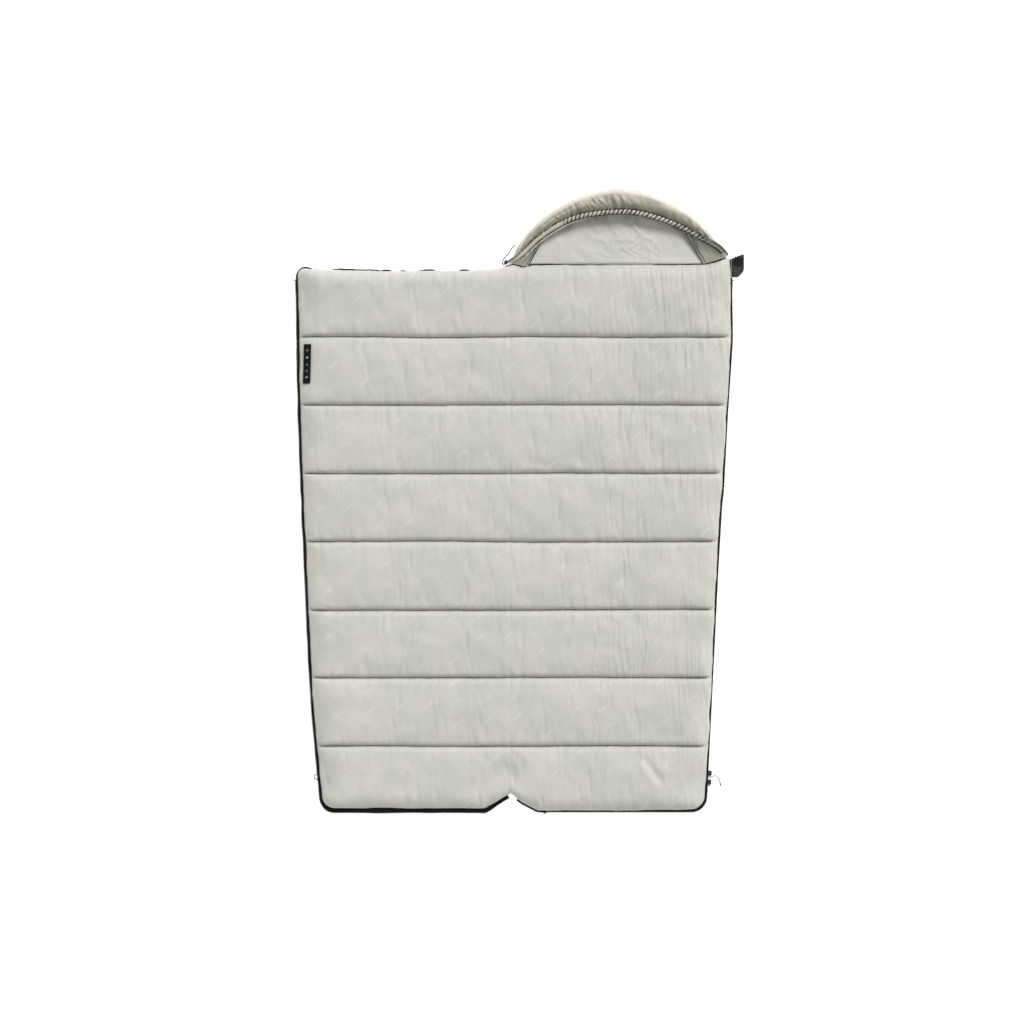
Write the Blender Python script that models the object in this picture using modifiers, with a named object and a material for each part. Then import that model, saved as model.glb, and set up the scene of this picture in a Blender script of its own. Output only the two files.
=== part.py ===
"""Hooded camp quilt: an envelope sleeping bag unzipped all round and laid open, lining up.

Metres, +Z up.  X = 0 is the fold line between the two halves, Y runs from the foot (-) to the head (+),
and Z = 0 is the ground under the outer shell.  Each half is an outer shell, eight baffles of batting and a
lining, with half of a two-way zip round its open edge.  The hood is sewn to the head of the right half.
"""
import math

import bmesh
import bpy
from mathutils import Vector

# Body
HEAD_Y = 0.945
FOOT_Y = -0.930
HALF_WIDTH_HEAD = 0.752
HALF_WIDTH_FOOT = 0.659
CHANNEL_PITCH = 0.23625
CHANNELS = 8
HEAD_CORNER_R = 0.025
FOOT_CORNER_R = 0.045
SPLIT_X = -0.006
SPLIT_GAP = 0.0005
NOTCH_DEPTH = 0.058
NOTCH_HALF_WIDTH = 0.090

# Heights of the layers
FABRIC = 0.001
LOFT_Z = 0.045
SEAM_Z = 0.012
EDGE_Z = 0.0086
RIM_RISE = 0.0050
RIM_WIDTH = 0.050
EDGE_SWELL_WIDTH = 0.090
CHANNEL_SHAPE = ((0.0, 0.0), (0.15, 0.63), (0.5, 1.0), (0.85, 0.63), (1.0, 0.0))
EDGE_SHAPE = ((0.0, 0.0), (1 / 3, 0.62), (1.0, 1.0))
FOLD_DIP = 0.28
FOLD_DIP_WIDTH = 0.060
BATTING_CLEAR_TOP = 0.0054
BATTING_CLEAR_BOTTOM = 0.0010
BATTING_CLEAR_SEAM = 0.009
BATTING_CLEAR_EDGE = 0.020
BATTING_CLEAR_FOLD = 0.012

# Zip
ZIP_Z = 0.0068
ZIP_TOP_Y = 0.905
ZIP_NOTCH_X = 0.112
TAPE_INSIDE = 0.012
TAPE_OUTSIDE = 0.009
COIL_OFFSET = 0.011
COIL_R = 0.0017
STOP_SIZE = 0.004
STOP_GAP = 0.0005

# Sliders, in the slider's own axes: x away from the quilt, y along the zip
SLIDER_OFFSET = COIL_OFFSET + 0.0031
UPPER_SLIDER_Y = -0.803
LOWER_SLIDER_Y = -0.834
SLIDER_LENGTH = 0.017
SLIDER_WIDTH = 0.014
SLIDER_HEIGHT = 0.0078
CHANNEL_HALF_WIDTH = 0.0053
CHANNEL_HALF_HEIGHT = 0.0021
TAPE_SLOT_HALF_HEIGHT = 0.0009
BRIDGE_HALF_WIDTH = 0.0012
BRIDGE_HALF_LENGTH = 0.0050
BRIDGE_TOP = 0.0077
EYE_HALF_LENGTH = 0.0025
EYE_BOTTOM = 0.0042
EYE_TOP = 0.0063
EYE_Z = (EYE_BOTTOM + EYE_TOP) / 2
TAB_THICKNESS = 0.0012
TAB_HALF_WIDTH = 0.0034
TAB_LENGTH = 0.0140
TAB_HOLE_Y = 0.0110
PULL_CORD_R = 0.0013
PULL_TIP_R = 0.0022
PULL_TIP_LENGTH = 0.009

# Hood: the outline and the hem are superellipses that share their middle
HOOD_X = 0.362
HOOD_Y = 0.957
HOOD_HALF_WIDTH = 0.370
HEM_HALF_WIDTH = 0.382
HOOD_HEIGHT = 0.2676
HOOD_POWER = 1.7
HEM_Y = 0.965
HEM_HEIGHT = 0.181
HEM_POWER = 1.5
HOOD_EDGE_Z = 0.003
HOOD_BACK_LOFT = 0.013
HOOD_BATTING_INSET = 0.05
CROWN_BASE_Z = 0.0048
CROWN_RISE = 0.080
CROWN_END_ANGLE = 0.45
CROWN_THICKNESS = 0.013
RIDGE_AT = 0.45
HEM_DROP = 0.25
TUNNEL_R = 0.0075
TUNNEL_WALL = 0.0012
TUNNEL_END_ANGLE = 0.12
DRAWCORD_R = 0.0020
HEM_GAP = 0.0105

# Cord lock at the left end of the hem
LOCK_X = -0.028
LOCK_Y = 0.969
LOCK_CORD_Z = 0.0120
LOCK_R = 0.0065
LOCK_BOTTOM = 0.0035
LOCK_TOP = 0.0190
LOCK_BORE_R = 0.0050
LOCK_BORE_BOTTOM = 0.0045
LOCK_CORD_HOLE_R = 0.0022
PLUNGER_R = 0.0046
PLUNGER_TOP = 0.0235
PLUNGER_BOTTOM = 0.0085
PLUNGER_TRAVEL = 0.0035
TAIL_R = 0.0015

# Small sewn pieces
FLAP_HINGE_X = 0.7546
FLAP_Z = 0.0015
FLAP_HALF_THICKNESS = 0.001
HOOK_SIZE = 0.031
HOOK_X = 0.7785
HOOK_Y = 0.971
HOOK_TURN = math.radians(-15)
HOOK_BOTTOM = 0.0028
HOOK_THICKNESS = 0.0015
LABEL_CLEAR = 0.0050
LOOP_Y = -0.817
LOOP_SPREAD = 0.009
LOOP_REACH = 0.013
LOOP_R = 0.0013
LOOP_Z = 0.0022

COLOURS = {
    "lining": ((0.57, 0.56, 0.51, 1), 0.70, 0.0),
    "shell": ((0.63, 0.60, 0.50, 1), 0.75, 0.0),
    "batting": ((0.90, 0.90, 0.88, 1), 0.95, 0.0),
    "gusset": ((0.29, 0.30, 0.25, 1), 0.75, 0.0),
    "black_tape": ((0.012, 0.012, 0.012, 1), 0.80, 0.0),
    "black_plastic": ((0.010, 0.010, 0.011, 1), 0.35, 0.0),
    "slider": ((0.030, 0.030, 0.032, 1), 0.35, 0.8),
    "steel": ((0.45, 0.45, 0.46, 1), 0.30, 1.0),
    "flap": ((0.040, 0.043, 0.036, 1), 0.85, 0.0),
}

parts = None
cutters = None


def clear_scene():
    for thing in list(bpy.data.objects):
        bpy.data.objects.remove(thing, do_unlink=True)


def new_collection(name):
    made = bpy.data.collections.new(name)
    bpy.context.scene.collection.children.link(made)
    return made


def material(kind):
    found = bpy.data.materials.get(kind)
    if found:
        return found
    colour, roughness, metallic = COLOURS[kind]
    made = bpy.data.materials.new(kind)
    made.use_nodes = True
    shader = made.node_tree.nodes["Principled BSDF"]
    shader.inputs["Base Color"].default_value = colour
    shader.inputs["Roughness"].default_value = roughness
    shader.inputs["Metallic"].default_value = metallic
    return made


def add(name, data, kind, parent=None, collection=None):
    made = bpy.data.objects.new(name, data)
    (collection or parts).objects.link(made)
    if kind:
        data.materials.append(material(kind))
    made.parent = parent
    return made


def empty(name, location, turn=0.0):
    made = bpy.data.objects.new(name, None)
    made.location = location
    made.rotation_euler = (0, 0, turn)
    parts.objects.link(made)
    return made


def grid_mesh(name, columns, rows, place):
    """An open surface over columns by rows, each point put where place(column, row) says."""
    bm = bmesh.new()
    across, along = len(columns) - 1, len(rows) - 1
    bmesh.ops.create_grid(bm, x_segments=across, y_segments=along, size=0.5)
    for v in bm.verts:
        column = columns[round((v.co.x + 0.5) * across)]
        row = rows[round((v.co.y + 0.5) * along)]
        v.co = place(column, row)
    mesh = bpy.data.meshes.new(name)
    bm.to_mesh(mesh)
    bm.free()
    return mesh


def sheet(name, columns, rows, place, kind, thickness=FABRIC, offset=-1.0):
    """Fabric: an open surface with Solidify."""
    made = add(name, grid_mesh(name, columns, rows, place), kind)
    made.data.shade_smooth()
    thick = made.modifiers.new("thickness", "SOLIDIFY")
    thick.thickness = thickness
    thick.offset = offset
    return made


def block(name, columns, rows, place, kind):
    """Batting: a closed block between place(column, row, 0) below and place(column, row, 1) above."""
    bm = bmesh.new()
    across, along = len(columns) - 1, len(rows) - 1
    bmesh.ops.create_grid(bm, x_segments=across, y_segments=along, size=0.5)
    lower = list(bm.faces)
    raised = bmesh.ops.extrude_face_region(bm, geom=lower, use_keep_orig=True)
    upper = {v for v in raised["geom"] if isinstance(v, bmesh.types.BMVert)}
    for v in bm.verts:
        column = columns[round((v.co.x + 0.5) * across)]
        row = rows[round((v.co.y + 0.5) * along)]
        v.co = place(column, row, 1 if v in upper else 0)
    bmesh.ops.recalc_face_normals(bm, faces=bm.faces)
    mesh = bpy.data.meshes.new(name)
    bm.to_mesh(mesh)
    bm.free()
    mesh.shade_smooth()
    return add(name, mesh, kind)


def box(name, low, high, kind, parent=None, collection=None):
    bm = bmesh.new()
    bmesh.ops.create_cube(bm, size=1.0)
    low, high = Vector(low), Vector(high)
    for v in bm.verts:
        v.co = (low + high) / 2 + Vector(a * b for a, b in zip(v.co, high - low))
    mesh = bpy.data.meshes.new(name)
    bm.to_mesh(mesh)
    bm.free()
    return add(name, mesh, kind, parent, collection)


def cylinder(name, radius, bottom, top, kind, parent=None, collection=None, sides=20, taper=1.0):
    bm = bmesh.new()
    bmesh.ops.create_cone(
        bm, cap_ends=True, segments=sides, radius1=radius, radius2=radius * taper, depth=top - bottom
    )
    for v in bm.verts:
        v.co.z += (top + bottom) / 2
    mesh = bpy.data.meshes.new(name)
    bm.to_mesh(mesh)
    bm.free()
    mesh.shade_smooth()
    mesh.set_sharp_from_angle(angle=math.radians(35))
    return add(name, mesh, kind, parent, collection)


def cut(target, cutter, operation="DIFFERENCE"):
    cutter.hide_render = True
    cutter.display_type = "WIRE"
    made = target.modifiers.new(cutter.name, "BOOLEAN")
    made.operation = operation
    made.object = cutter


def bevel(target, width, segments=2):
    made = target.modifiers.new("bevel", "BEVEL")
    made.width = width
    made.segments = segments
    made.limit_method = "ANGLE"


def tube(name, points, radius, kind, closed_ends=True):
    """A round cord or coil along points."""
    curve = bpy.data.curves.new(name, "CURVE")
    curve.dimensions = "3D"
    curve.bevel_depth = radius
    curve.bevel_resolution = 2
    curve.use_fill_caps = closed_ends
    spline = curve.splines.new("POLY")
    spline.points.add(len(points) - 1)
    for node, place in zip(spline.points, points):
        node.co = (*place, 1.0)
    return add(name, curve, kind)


def flat(name, outlines, half_thickness, kind, location):
    """A flat piece from closed outlines, the first outside and the others its holes."""
    curve = bpy.data.curves.new(name, "CURVE")
    curve.dimensions = "2D"
    curve.fill_mode = "BOTH"
    curve.extrude = half_thickness
    for outline in outlines:
        spline = curve.splines.new("POLY")
        spline.points.add(len(outline) - 1)
        for node, (x, y) in zip(spline.points, outline):
            node.co = (x, y, 0.0, 1.0)
        spline.use_cyclic_u = True
    made = add(name, curve, kind)
    made.location = location
    return made


def smooth_route(points, step):
    """Points a step apart on a smooth curve through a few route points."""
    ends = [points[0] * 2 - points[1], *points, points[-1] * 2 - points[-2]]
    fine = []
    for i in range(1, len(ends) - 2):
        a, b, c, d = ends[i - 1 : i + 3]
        for n in range(24):
            t = n / 24
            fine.append(
                0.5 * (2 * b + (c - a) * t + (2 * a - 5 * b + 4 * c - d) * t * t + (3 * b - a - 3 * c + d) * t**3)
            )
    fine.append(points[-1].copy())
    length = sum((q - p).length for p, q in zip(fine, fine[1:]))
    count = max(3, round(length / step))
    kept, gone, want = [fine[0]], 0.0, length / count
    for p, q in zip(fine, fine[1:]):
        run = (q - p).length
        while len(kept) < count and gone + run >= want * len(kept):
            kept.append(p.lerp(q, (want * len(kept) - gone) / run))
        gone += run
    kept.append(fine[-1])
    return kept


# Outline of one half, in x measured from the fold line


def half_width(y):
    return HALF_WIDTH_FOOT + (HALF_WIDTH_HEAD - HALF_WIDTH_FOOT) * (y - FOOT_Y) / (HEAD_Y - FOOT_Y)


def outer_x(y):
    """The open edge, with its corners rounded."""
    x = half_width(y)
    for radius, past in ((FOOT_CORNER_R, FOOT_Y + FOOT_CORNER_R - y), (HEAD_CORNER_R, y - HEAD_Y + HEAD_CORNER_R)):
        if past > 0:
            x -= radius - math.sqrt(max(0.0, radius**2 - past**2))
    return x


def inner_x(side, y):
    """The fold side, which opens into the notch at the foot."""
    start = side * SPLIT_X + SPLIT_GAP
    into_notch = max(0.0, (FOOT_Y + NOTCH_DEPTH - y) / NOTCH_DEPTH)
    return start + NOTCH_HALF_WIDTH * into_notch**1.4


def channel(number):
    """The foot and head ends of channel 1 (foot) to 8 (head)."""
    seam = CHANNELS / 2
    low = FOOT_Y if number == 1 else (number - 1 - seam) * CHANNEL_PITCH
    high = HEAD_Y if number == CHANNELS else (number - seam) * CHANNEL_PITCH
    return low, high


def along_shape(shape, share):
    """The height of a profile of straight runs, at a share of its width."""
    for (start, low), (end, high) in zip(shape, shape[1:]):
        if share <= end:
            return low + (high - low) * (share - start) / (end - start)
    return shape[-1][1]


def lining_z(x, y):
    """The top of the lining: a crowned channel that sinks to its seams, its open edge and the fold."""
    number = max(1, min(CHANNELS, 1 + math.floor(y / CHANNEL_PITCH + CHANNELS / 2 + 1e-6)))
    low, high = channel(number)
    share = min(1.0, max(0.0, (y - low) / (high - low)))
    from_edge = min(1.0, max(0.0, outer_x(y) - x) / EDGE_SWELL_WIDTH)
    swell = along_shape(EDGE_SHAPE, from_edge)
    low_z = EDGE_Z if number == 1 else SEAM_Z
    high_z = EDGE_Z if number == CHANNELS else SEAM_Z
    base = EDGE_Z + (low_z + (high_z - low_z) * share - EDGE_Z) * swell
    dip = 1 - FOLD_DIP * (1 - min(1.0, abs(x) / FOLD_DIP_WIDTH))
    crown = along_shape(CHANNEL_SHAPE, share)
    return base + (LOFT_Z - base) * crown * swell * dip


def shell_z(x, y):
    """The top of the shell: flat on the ground, and turned up to the zip at the open edges."""
    from_edge = min(outer_x(y) - x, HEAD_Y - y, y - FOOT_Y)
    return FABRIC + RIM_RISE * (1 - min(1.0, max(0.0, from_edge) / RIM_WIDTH))


def edge_points(side, offset):
    """The open edge from the head down to the foot and in to the notch, moved outward by offset."""
    path = []
    corner_y = FOOT_Y + FOOT_CORNER_R
    for n in range(6):
        y = ZIP_TOP_Y + (corner_y - ZIP_TOP_Y) * n / 6
        path.append(Vector((half_width(y), y)))
    for n in range(6):
        turn = math.radians(90) * n / 5
        y = corner_y - FOOT_CORNER_R * math.sin(turn)
        path.append(Vector((half_width(y) - FOOT_CORNER_R * (1 - math.cos(turn)), y)))
    start = path[-1].x
    for n in range(1, 4):
        path.append(Vector((start + (ZIP_NOTCH_X - start) * n / 3, FOOT_Y)))
    moved = []
    for n, here in enumerate(path):
        along = path[min(n + 1, len(path) - 1)] - path[max(n - 1, 0)]
        outward = Vector((-along.y, along.x)).normalized()
        moved.append(Vector((side * (here.x + outward.x * offset), here.y + outward.y * offset, ZIP_Z)))
    return moved


def half(side, word):
    """The shell, lining, batting and zip half of one side of the quilt."""

    def across(y, spots):
        low, high = inner_x(side, y), outer_x(y)
        places = {
            "fold": low,
            "fold_batting": low + BATTING_CLEAR_FOLD,
            "fold_end": low + FOLD_DIP_WIDTH,
            "middle": (low + high) / 2,
            "swell": high - EDGE_SWELL_WIDTH,
            "shoulder": high - EDGE_SWELL_WIDTH / 3,
            "edge_batting": high - BATTING_CLEAR_EDGE,
            "rim": high - RIM_WIDTH,
            "edge": high,
        }
        return places[spots]

    def lining_at(spot, y):
        x = across(y, spot)
        return Vector((side * x, y, lining_z(x, y)))

    def shell_at(spot, y):
        x = across(y, spot)
        return Vector((side * x, y, shell_z(x, y)))

    shares = (0.0, 0.15, 0.5, 0.85)
    lining_rows = []
    for number in range(1, CHANNELS + 1):
        low, high = channel(number)
        extra = (0.03, 0.08) if number == 1 else ()
        late = (0.93,) if number == CHANNELS else ()
        lining_rows += [low + (high - low) * s for s in sorted(shares + extra + late)]
    lining_rows.append(HEAD_Y)
    order = ["fold", "fold_end", "middle", "swell", "shoulder", "edge"]
    if side < 0:
        order.reverse()
    sheet(f"lining_{word}", order, lining_rows, lining_at, "lining")

    near_end = (0.0, BATTING_CLEAR_EDGE, RIM_WIDTH)
    shell_rows = [FOOT_Y + past for past in near_end] + [-0.4, 0.0, 0.4]
    shell_rows += [HEAD_Y - past for past in near_end[::-1]]
    order = ["fold", "middle", "rim", "shoulder", "edge_batting", "edge"]
    if side < 0:
        order.reverse()
    sheet(f"shell_{word}", order, shell_rows, shell_at, "shell")

    def batting_at(spot, y, above):
        x = across(y, spot)
        low = shell_z(x, y) + BATTING_CLEAR_BOTTOM
        high = lining_z(x, y) - BATTING_CLEAR_TOP
        return Vector((side * x, y, high if above else low))

    order = ["fold_batting", "fold_end", "middle", "swell", "shoulder", "edge_batting"]
    for number in range(1, CHANNELS + 1):
        low, high = channel(number)
        at_foot = BATTING_CLEAR_EDGE if number == 1 else BATTING_CLEAR_SEAM
        at_head = BATTING_CLEAR_EDGE if number == CHANNELS else BATTING_CLEAR_SEAM
        inside = [low + (high - low) * s for s in shares[1:]]
        rows = [low + at_foot, *inside, high - at_head]
        block(f"batting_{word}_{number}", order, rows, batting_at, "batting")

    inside, outside = edge_points(side, -TAPE_INSIDE), edge_points(side, TAPE_OUTSIDE)
    pairs = (inside, outside) if side > 0 else (outside, inside)
    steps = list(range(len(inside)))[::-1]
    sheet(f"zip_tape_{word}", [0, 1], steps, lambda c, r: pairs[c][r], "black_tape", offset=0.0)
    tube(f"zip_coil_{word}", edge_points(side, COIL_OFFSET), COIL_R, "black_plastic")
    zip_ends(side, word)


def zip_ends(side, word):
    """The stop at the top of the coil, and the separating end at the notch."""
    coil = edge_points(side, COIL_OFFSET)
    middle = coil[0]
    half_size = STOP_SIZE / 2
    low = Vector((middle.x - half_size, middle.y + STOP_GAP, ZIP_Z - half_size))
    box(f"top_stop_{word}", low, low + Vector((STOP_SIZE, STOP_SIZE, STOP_SIZE)), "black_plastic")
    end = coil[-1]
    near, far = end.x - side * STOP_GAP, end.x - side * (STOP_GAP + 2 * STOP_SIZE)
    height = half_size if side < 0 else STOP_SIZE * 0.75
    name = "insertion_pin" if side < 0 else "retaining_box"
    low = (min(near, far), end.y - height, ZIP_Z - height)
    high = (max(near, far), end.y + height, ZIP_Z + height)
    bevel(box(name, low, high, "black_plastic"), 0.0006)


def bindings():
    """The bound edge along the head of the left half, and the neck seam's tape on the right half."""
    lengths = {
        "head_binding": (-(HALF_WIDTH_HEAD - HEAD_CORNER_R), -0.012, 0.0025, 0.0072),
        "neck_binding": (-0.004, HALF_WIDTH_HEAD - HEAD_CORNER_R, 0.0028, 0.0095),
    }
    for name, (start, end, radius, z) in lengths.items():
        y = HEAD_Y + radius + 0.0005
        points = [Vector((start + (end - start) * n / 4, y, z)) for n in range(5)]
        tube(name, points, radius, "black_tape")


def slider(name, y, nose):
    """A zip slider: two flanged plates, the post between them at the nose, and a bridge for the pull."""
    tilt = -math.atan((HALF_WIDTH_HEAD - HALF_WIDTH_FOOT) / (HEAD_Y - FOOT_Y))
    outward = Vector((math.cos(tilt), math.sin(tilt), 0))
    place = Vector((half_width(y), y, ZIP_Z)) + outward * SLIDER_OFFSET
    base = empty(f"{name}_place", place, tilt)
    length, width, height = SLIDER_LENGTH / 2, SLIDER_WIDTH / 2, SLIDER_HEIGHT / 2
    body = box(f"{name}_body", (-width, -length, -height), (width, length, height), "slider", base)
    bevel(body, 0.0012)

    def tool(word, low, high, operation="DIFFERENCE"):
        cut(body, box(f"{name}_{word}", low, high, None, base, cutters), operation)

    past = length + 0.001
    inner, slot = CHANNEL_HALF_HEIGHT, TAPE_SLOT_HALF_HEIGHT
    tool("channel", (-CHANNEL_HALF_WIDTH, -past, -inner), (CHANNEL_HALF_WIDTH, past, inner))
    tool("tape_slot", (-width - 0.001, -past, -slot), (width + 0.001, past, slot))
    post = sorted((nose * 0.002, nose * (length - 0.0004)))
    tool("post", (-0.001, post[0], -inner - 0.0005), (0.001, post[1], inner + 0.0005), "UNION")
    low = (-BRIDGE_HALF_WIDTH, -BRIDGE_HALF_LENGTH, height - 0.0005)
    tool("bridge", low, (BRIDGE_HALF_WIDTH, BRIDGE_HALF_LENGTH, BRIDGE_TOP), "UNION")
    tool("eye", (-0.002, -EYE_HALF_LENGTH, EYE_BOTTOM), (0.002, EYE_HALF_LENGTH, EYE_TOP))
    return place, tilt


def pull_tab(name, place, tilt, points_to):
    """The flat pull, its root bar through the bridge's eye, lying towards +Y or -Y."""
    bar = TAB_THICKNESS / 2
    w, tip = TAB_HALF_WIDTH, TAB_LENGTH
    outline = [(w, -bar), (w, tip - w)]
    outline += [(w * math.cos(a), tip - w + w * math.sin(a)) for a in (math.pi * n / 6 for n in range(1, 6))]
    outline += [(-w, tip - w), (-w, -bar)]
    slot = [(-0.0019, bar), (0.0019, bar), (0.0019, 0.0075), (-0.0019, 0.0075)]
    turns = [2 * math.pi * n / 10 for n in range(10)]
    hole = [(0.0015 * math.cos(a), TAB_HOLE_Y + 0.0015 * math.sin(a)) for a in turns]
    made = flat(name, [outline, slot, hole], bar, "slider", place + Vector((0, 0, EYE_Z)))
    made.rotation_euler = (0, 0, tilt if points_to > 0 else tilt + math.pi)
    return made


def sliders():
    place, tilt = slider("upper_slider", UPPER_SLIDER_Y, 1)
    pull_tab("upper_pull_tab", place, tilt, -1)
    along = Vector((-math.sin(tilt), math.cos(tilt), 0))
    route = [
        place - along * (TAB_LENGTH + PULL_CORD_R + 0.0006) + Vector((0, 0, EYE_Z)),
        Vector((0.6885, -0.8150, 0.0125)),
        Vector((0.6980, -0.8125, 0.0105)),
        Vector((0.7070, -0.8180, 0.0065)),
        Vector((0.7135, -0.8280, 0.0032)),
        Vector((0.7165, -0.8400, 0.0030)),
    ]
    points = smooth_route(route, 0.004)
    tube("pull_cord", points, PULL_CORD_R, "black_tape")
    heading = (points[-1] - points[-2]).normalized()
    tip = cylinder("pull_tip", PULL_TIP_R, 0.0004, PULL_TIP_LENGTH, "black_plastic", sides=12, taper=0.7)
    tip.location = points[-1]
    tip.rotation_euler = heading.to_track_quat("Z", "Y").to_euler()
    place, tilt = slider("lower_slider", LOWER_SLIDER_Y, -1)
    pull_tab("lower_pull_tab", place, tilt, -1)


# Hood


def on_superellipse(angle, y, half_span, height, power):
    c, s = math.cos(angle), math.sin(angle)
    x = HOOD_X + half_span * math.copysign(abs(c) ** (2 / power), c)
    return Vector((x, y + height * abs(s) ** (2 / power), 0))


def outline_at(angle):
    return on_superellipse(angle, HOOD_Y, HOOD_HALF_WIDTH, HOOD_HEIGHT, HOOD_POWER)


def hem_at(angle):
    return on_superellipse(angle, HEM_Y, HEM_HALF_WIDTH, HEM_HEIGHT, HEM_POWER)


def rise_at(angle):
    return 0.012 + (CROWN_RISE - 0.012) * math.sin(angle) ** 0.8


def hem_z(angle):
    """The middle of the hem tunnel."""
    return 0.0110 + (CROWN_RISE * (1 - HEM_DROP) - 0.008) * math.sin(angle) ** 1.25


def hood_back_z(x, y):
    across = abs(x - HOOD_X) / HOOD_HALF_WIDTH
    up = max(0.0, y - HOOD_Y) / HOOD_HEIGHT
    out = min(1.0, (across**HOOD_POWER + up**HOOD_POWER) ** (1 / HOOD_POWER))
    return HOOD_EDGE_Z + HOOD_BACK_LOFT * (1 - out**2)


def hood_back():
    """The panel that lies on the ground under the head."""
    rows = [0.0, 0.2, 0.4, 0.6, 0.75, 0.87, 0.95, 0.985]
    columns = [-1.0, -0.85, -0.5, 0.0, 0.5, 0.85, 1.0]

    def spot(across, up, inset):
        y = HOOD_Y + HOOD_HEIGHT * (up + inset * (0.5 - up) * 2) + 0.0005
        share = min(1.0, max(0.0, (y - HOOD_Y) / HOOD_HEIGHT))
        span = HOOD_HALF_WIDTH * (1 - share**HOOD_POWER) ** (1 / HOOD_POWER)
        return HOOD_X + across * (span - inset * HOOD_HALF_WIDTH * 0.6), y

    def shell_at(across, up):
        x, y = spot(across, up, 0)
        return Vector((x, y, FABRIC))

    def lining_at(across, up):
        x, y = spot(across, up, 0)
        return Vector((x, y, hood_back_z(x, y)))

    def batting_at(across, up, above):
        x, y = spot(across, up, HOOD_BATTING_INSET)
        return Vector((x, y, hood_back_z(x, y) - 0.0021 if above else FABRIC + 0.0003))

    sheet("hood_back_shell", columns, rows, shell_at, "shell")
    sheet("hood_back_lining", columns, rows, lining_at, "lining", 0.0008)
    block("hood_back_batting", columns, rows, batting_at, "batting")


def crown_point(angle, share, depth):
    """On the raised band of the hood, from its outer edge (0) to its hem (1), at a depth of 0 to 1."""
    outline, hem = outline_at(angle), hem_at(angle)
    across = hem - outline
    band = across.length - HEM_GAP
    across.normalize()
    inset = depth * min(CROWN_THICKNESS, 0.45 * band)
    if share < RIDGE_AT:
        lift = math.sqrt(1 - (1 - share / RIDGE_AT) ** 2)
    else:
        lift = 1 - HEM_DROP * ((share - RIDGE_AT) / (1 - RIDGE_AT)) ** 2
    place = outline + across * (inset + (band - inset) * share)
    place.z = CROWN_BASE_Z + 0.2 * inset + (rise_at(angle) - inset) * lift
    return place


def crown():
    """Three layers of the raised band: shell outside, batting, and lining inside."""
    angles = [CROWN_END_ANGLE + (math.pi - 2 * CROWN_END_ANGLE) * n / 16 for n in range(17)]
    shares = [0.0, 0.06, 0.18, 0.42, 0.7, 1.0]
    layers = {"shell": (0.0, 0.09, "shell"), "batting": (0.18, 0.82, "batting"), "lining": (0.92, 1.0, "lining")}
    for word, (outside, inside, kind) in layers.items():

        def place(angle, share, above, outside=outside, inside=inside):
            return crown_point(angle, share, outside if above else inside)

        block(f"hood_crown_{word}", angles, shares, place, kind)


def hem_points(first, last, count):
    found = []
    for n in range(count):
        angle = first + (last - first) * n / (count - 1)
        place = hem_at(angle)
        place.z = hem_z(angle)
        found.append(place)
    return found


def hem():
    """The tunnel round the hood's opening and the cord that gathers it."""
    first, last = TUNNEL_END_ANGLE, math.pi - TUNNEL_END_ANGLE
    points = hem_points(first, last, 23)
    lock = Vector((LOCK_X, LOCK_Y, LOCK_CORD_Z))
    points[-2].z = LOCK_CORD_Z
    mouth = lock + (points[-2] - lock).normalized() * (LOCK_R + 0.0015)
    points[-1] = mouth
    outer = tube("hem_tunnel", points, TUNNEL_R, "shell", closed_ends=False)
    wall = outer.modifiers.new("thickness", "SOLIDIFY")
    wall.thickness = TUNNEL_WALL
    wall.offset = -1.0
    wall.use_even_offset = True
    tube("drawcord", points[:-1], DRAWCORD_R, "black_tape")
    return mouth, points[-2]


def gussets():
    """The side panels that close the hood down to the neck."""
    corners = {
        "gusset_left": (math.pi - 0.17, math.pi - 0.62, (0.040, 0.9600, 0.0125)),
        "gusset_right": (0.17, 0.70, (0.662, 0.9600, 0.0125)),
    }
    for name, (end_angle, hem_angle, neck) in corners.items():
        middle = Vector((HOOD_X, HOOD_Y, 0))

        def edge(angle):
            place = hem_at(angle)
            inward = (middle - place).normalized()
            place += inward * (TUNNEL_R + 0.004)
            place.z = hem_z(angle)
            return place

        def place(up, along, above):
            rim = edge(end_angle + (hem_angle - end_angle) * along)
            root = edge(end_angle).lerp(Vector(neck), 0.25 + 0.75 * along)
            here = root.lerp(rim, up)
            here.z = max(here.z, hood_back_z(here.x, here.y) + 0.003) + (0.0012 if above else 0.0)
            return here

        block(name, [0.0, 0.35, 0.7, 1.0], [0.0, 0.33, 0.66, 1.0], place, "gusset")


def cord_lock(mouth, inside):
    """A sprung barrel on the end of the drawcord, with the cord's tail beyond it."""
    heading = (mouth - inside).normalized()
    place = Vector((LOCK_X, LOCK_Y, 0))
    turn = math.atan2(heading.y, heading.x)
    base = empty("cord_lock_place", place, turn)
    body = cylinder("cord_lock_body", LOCK_R, LOCK_BOTTOM, LOCK_TOP, "black_plastic", base)
    bevel(body, 0.0008)
    cut(body, cylinder("lock_bore", LOCK_BORE_R, LOCK_BORE_BOTTOM, LOCK_TOP + 0.002, None, base, cutters))
    hole = cylinder("lock_cord_hole", LOCK_CORD_HOLE_R, -0.01, 0.01, None, base, cutters, 12)
    hole.location = (0, 0, LOCK_CORD_Z)
    hole.rotation_euler = (0, math.radians(90), 0)
    cut(body, hole)
    plunger = cylinder("cord_lock_plunger", PLUNGER_R, PLUNGER_BOTTOM, PLUNGER_TOP, "black_plastic", base)
    bevel(plunger, 0.0005)
    slot_low = LOCK_CORD_Z - TAIL_R - 0.0003
    slot_high = LOCK_CORD_Z + TAIL_R + PLUNGER_TRAVEL + 0.0006
    slot = box("plunger_slot", (-0.01, -0.0022, slot_low), (0.01, 0.0022, slot_high), None, base, cutters)
    cut(plunger, slot)
    return heading


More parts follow.
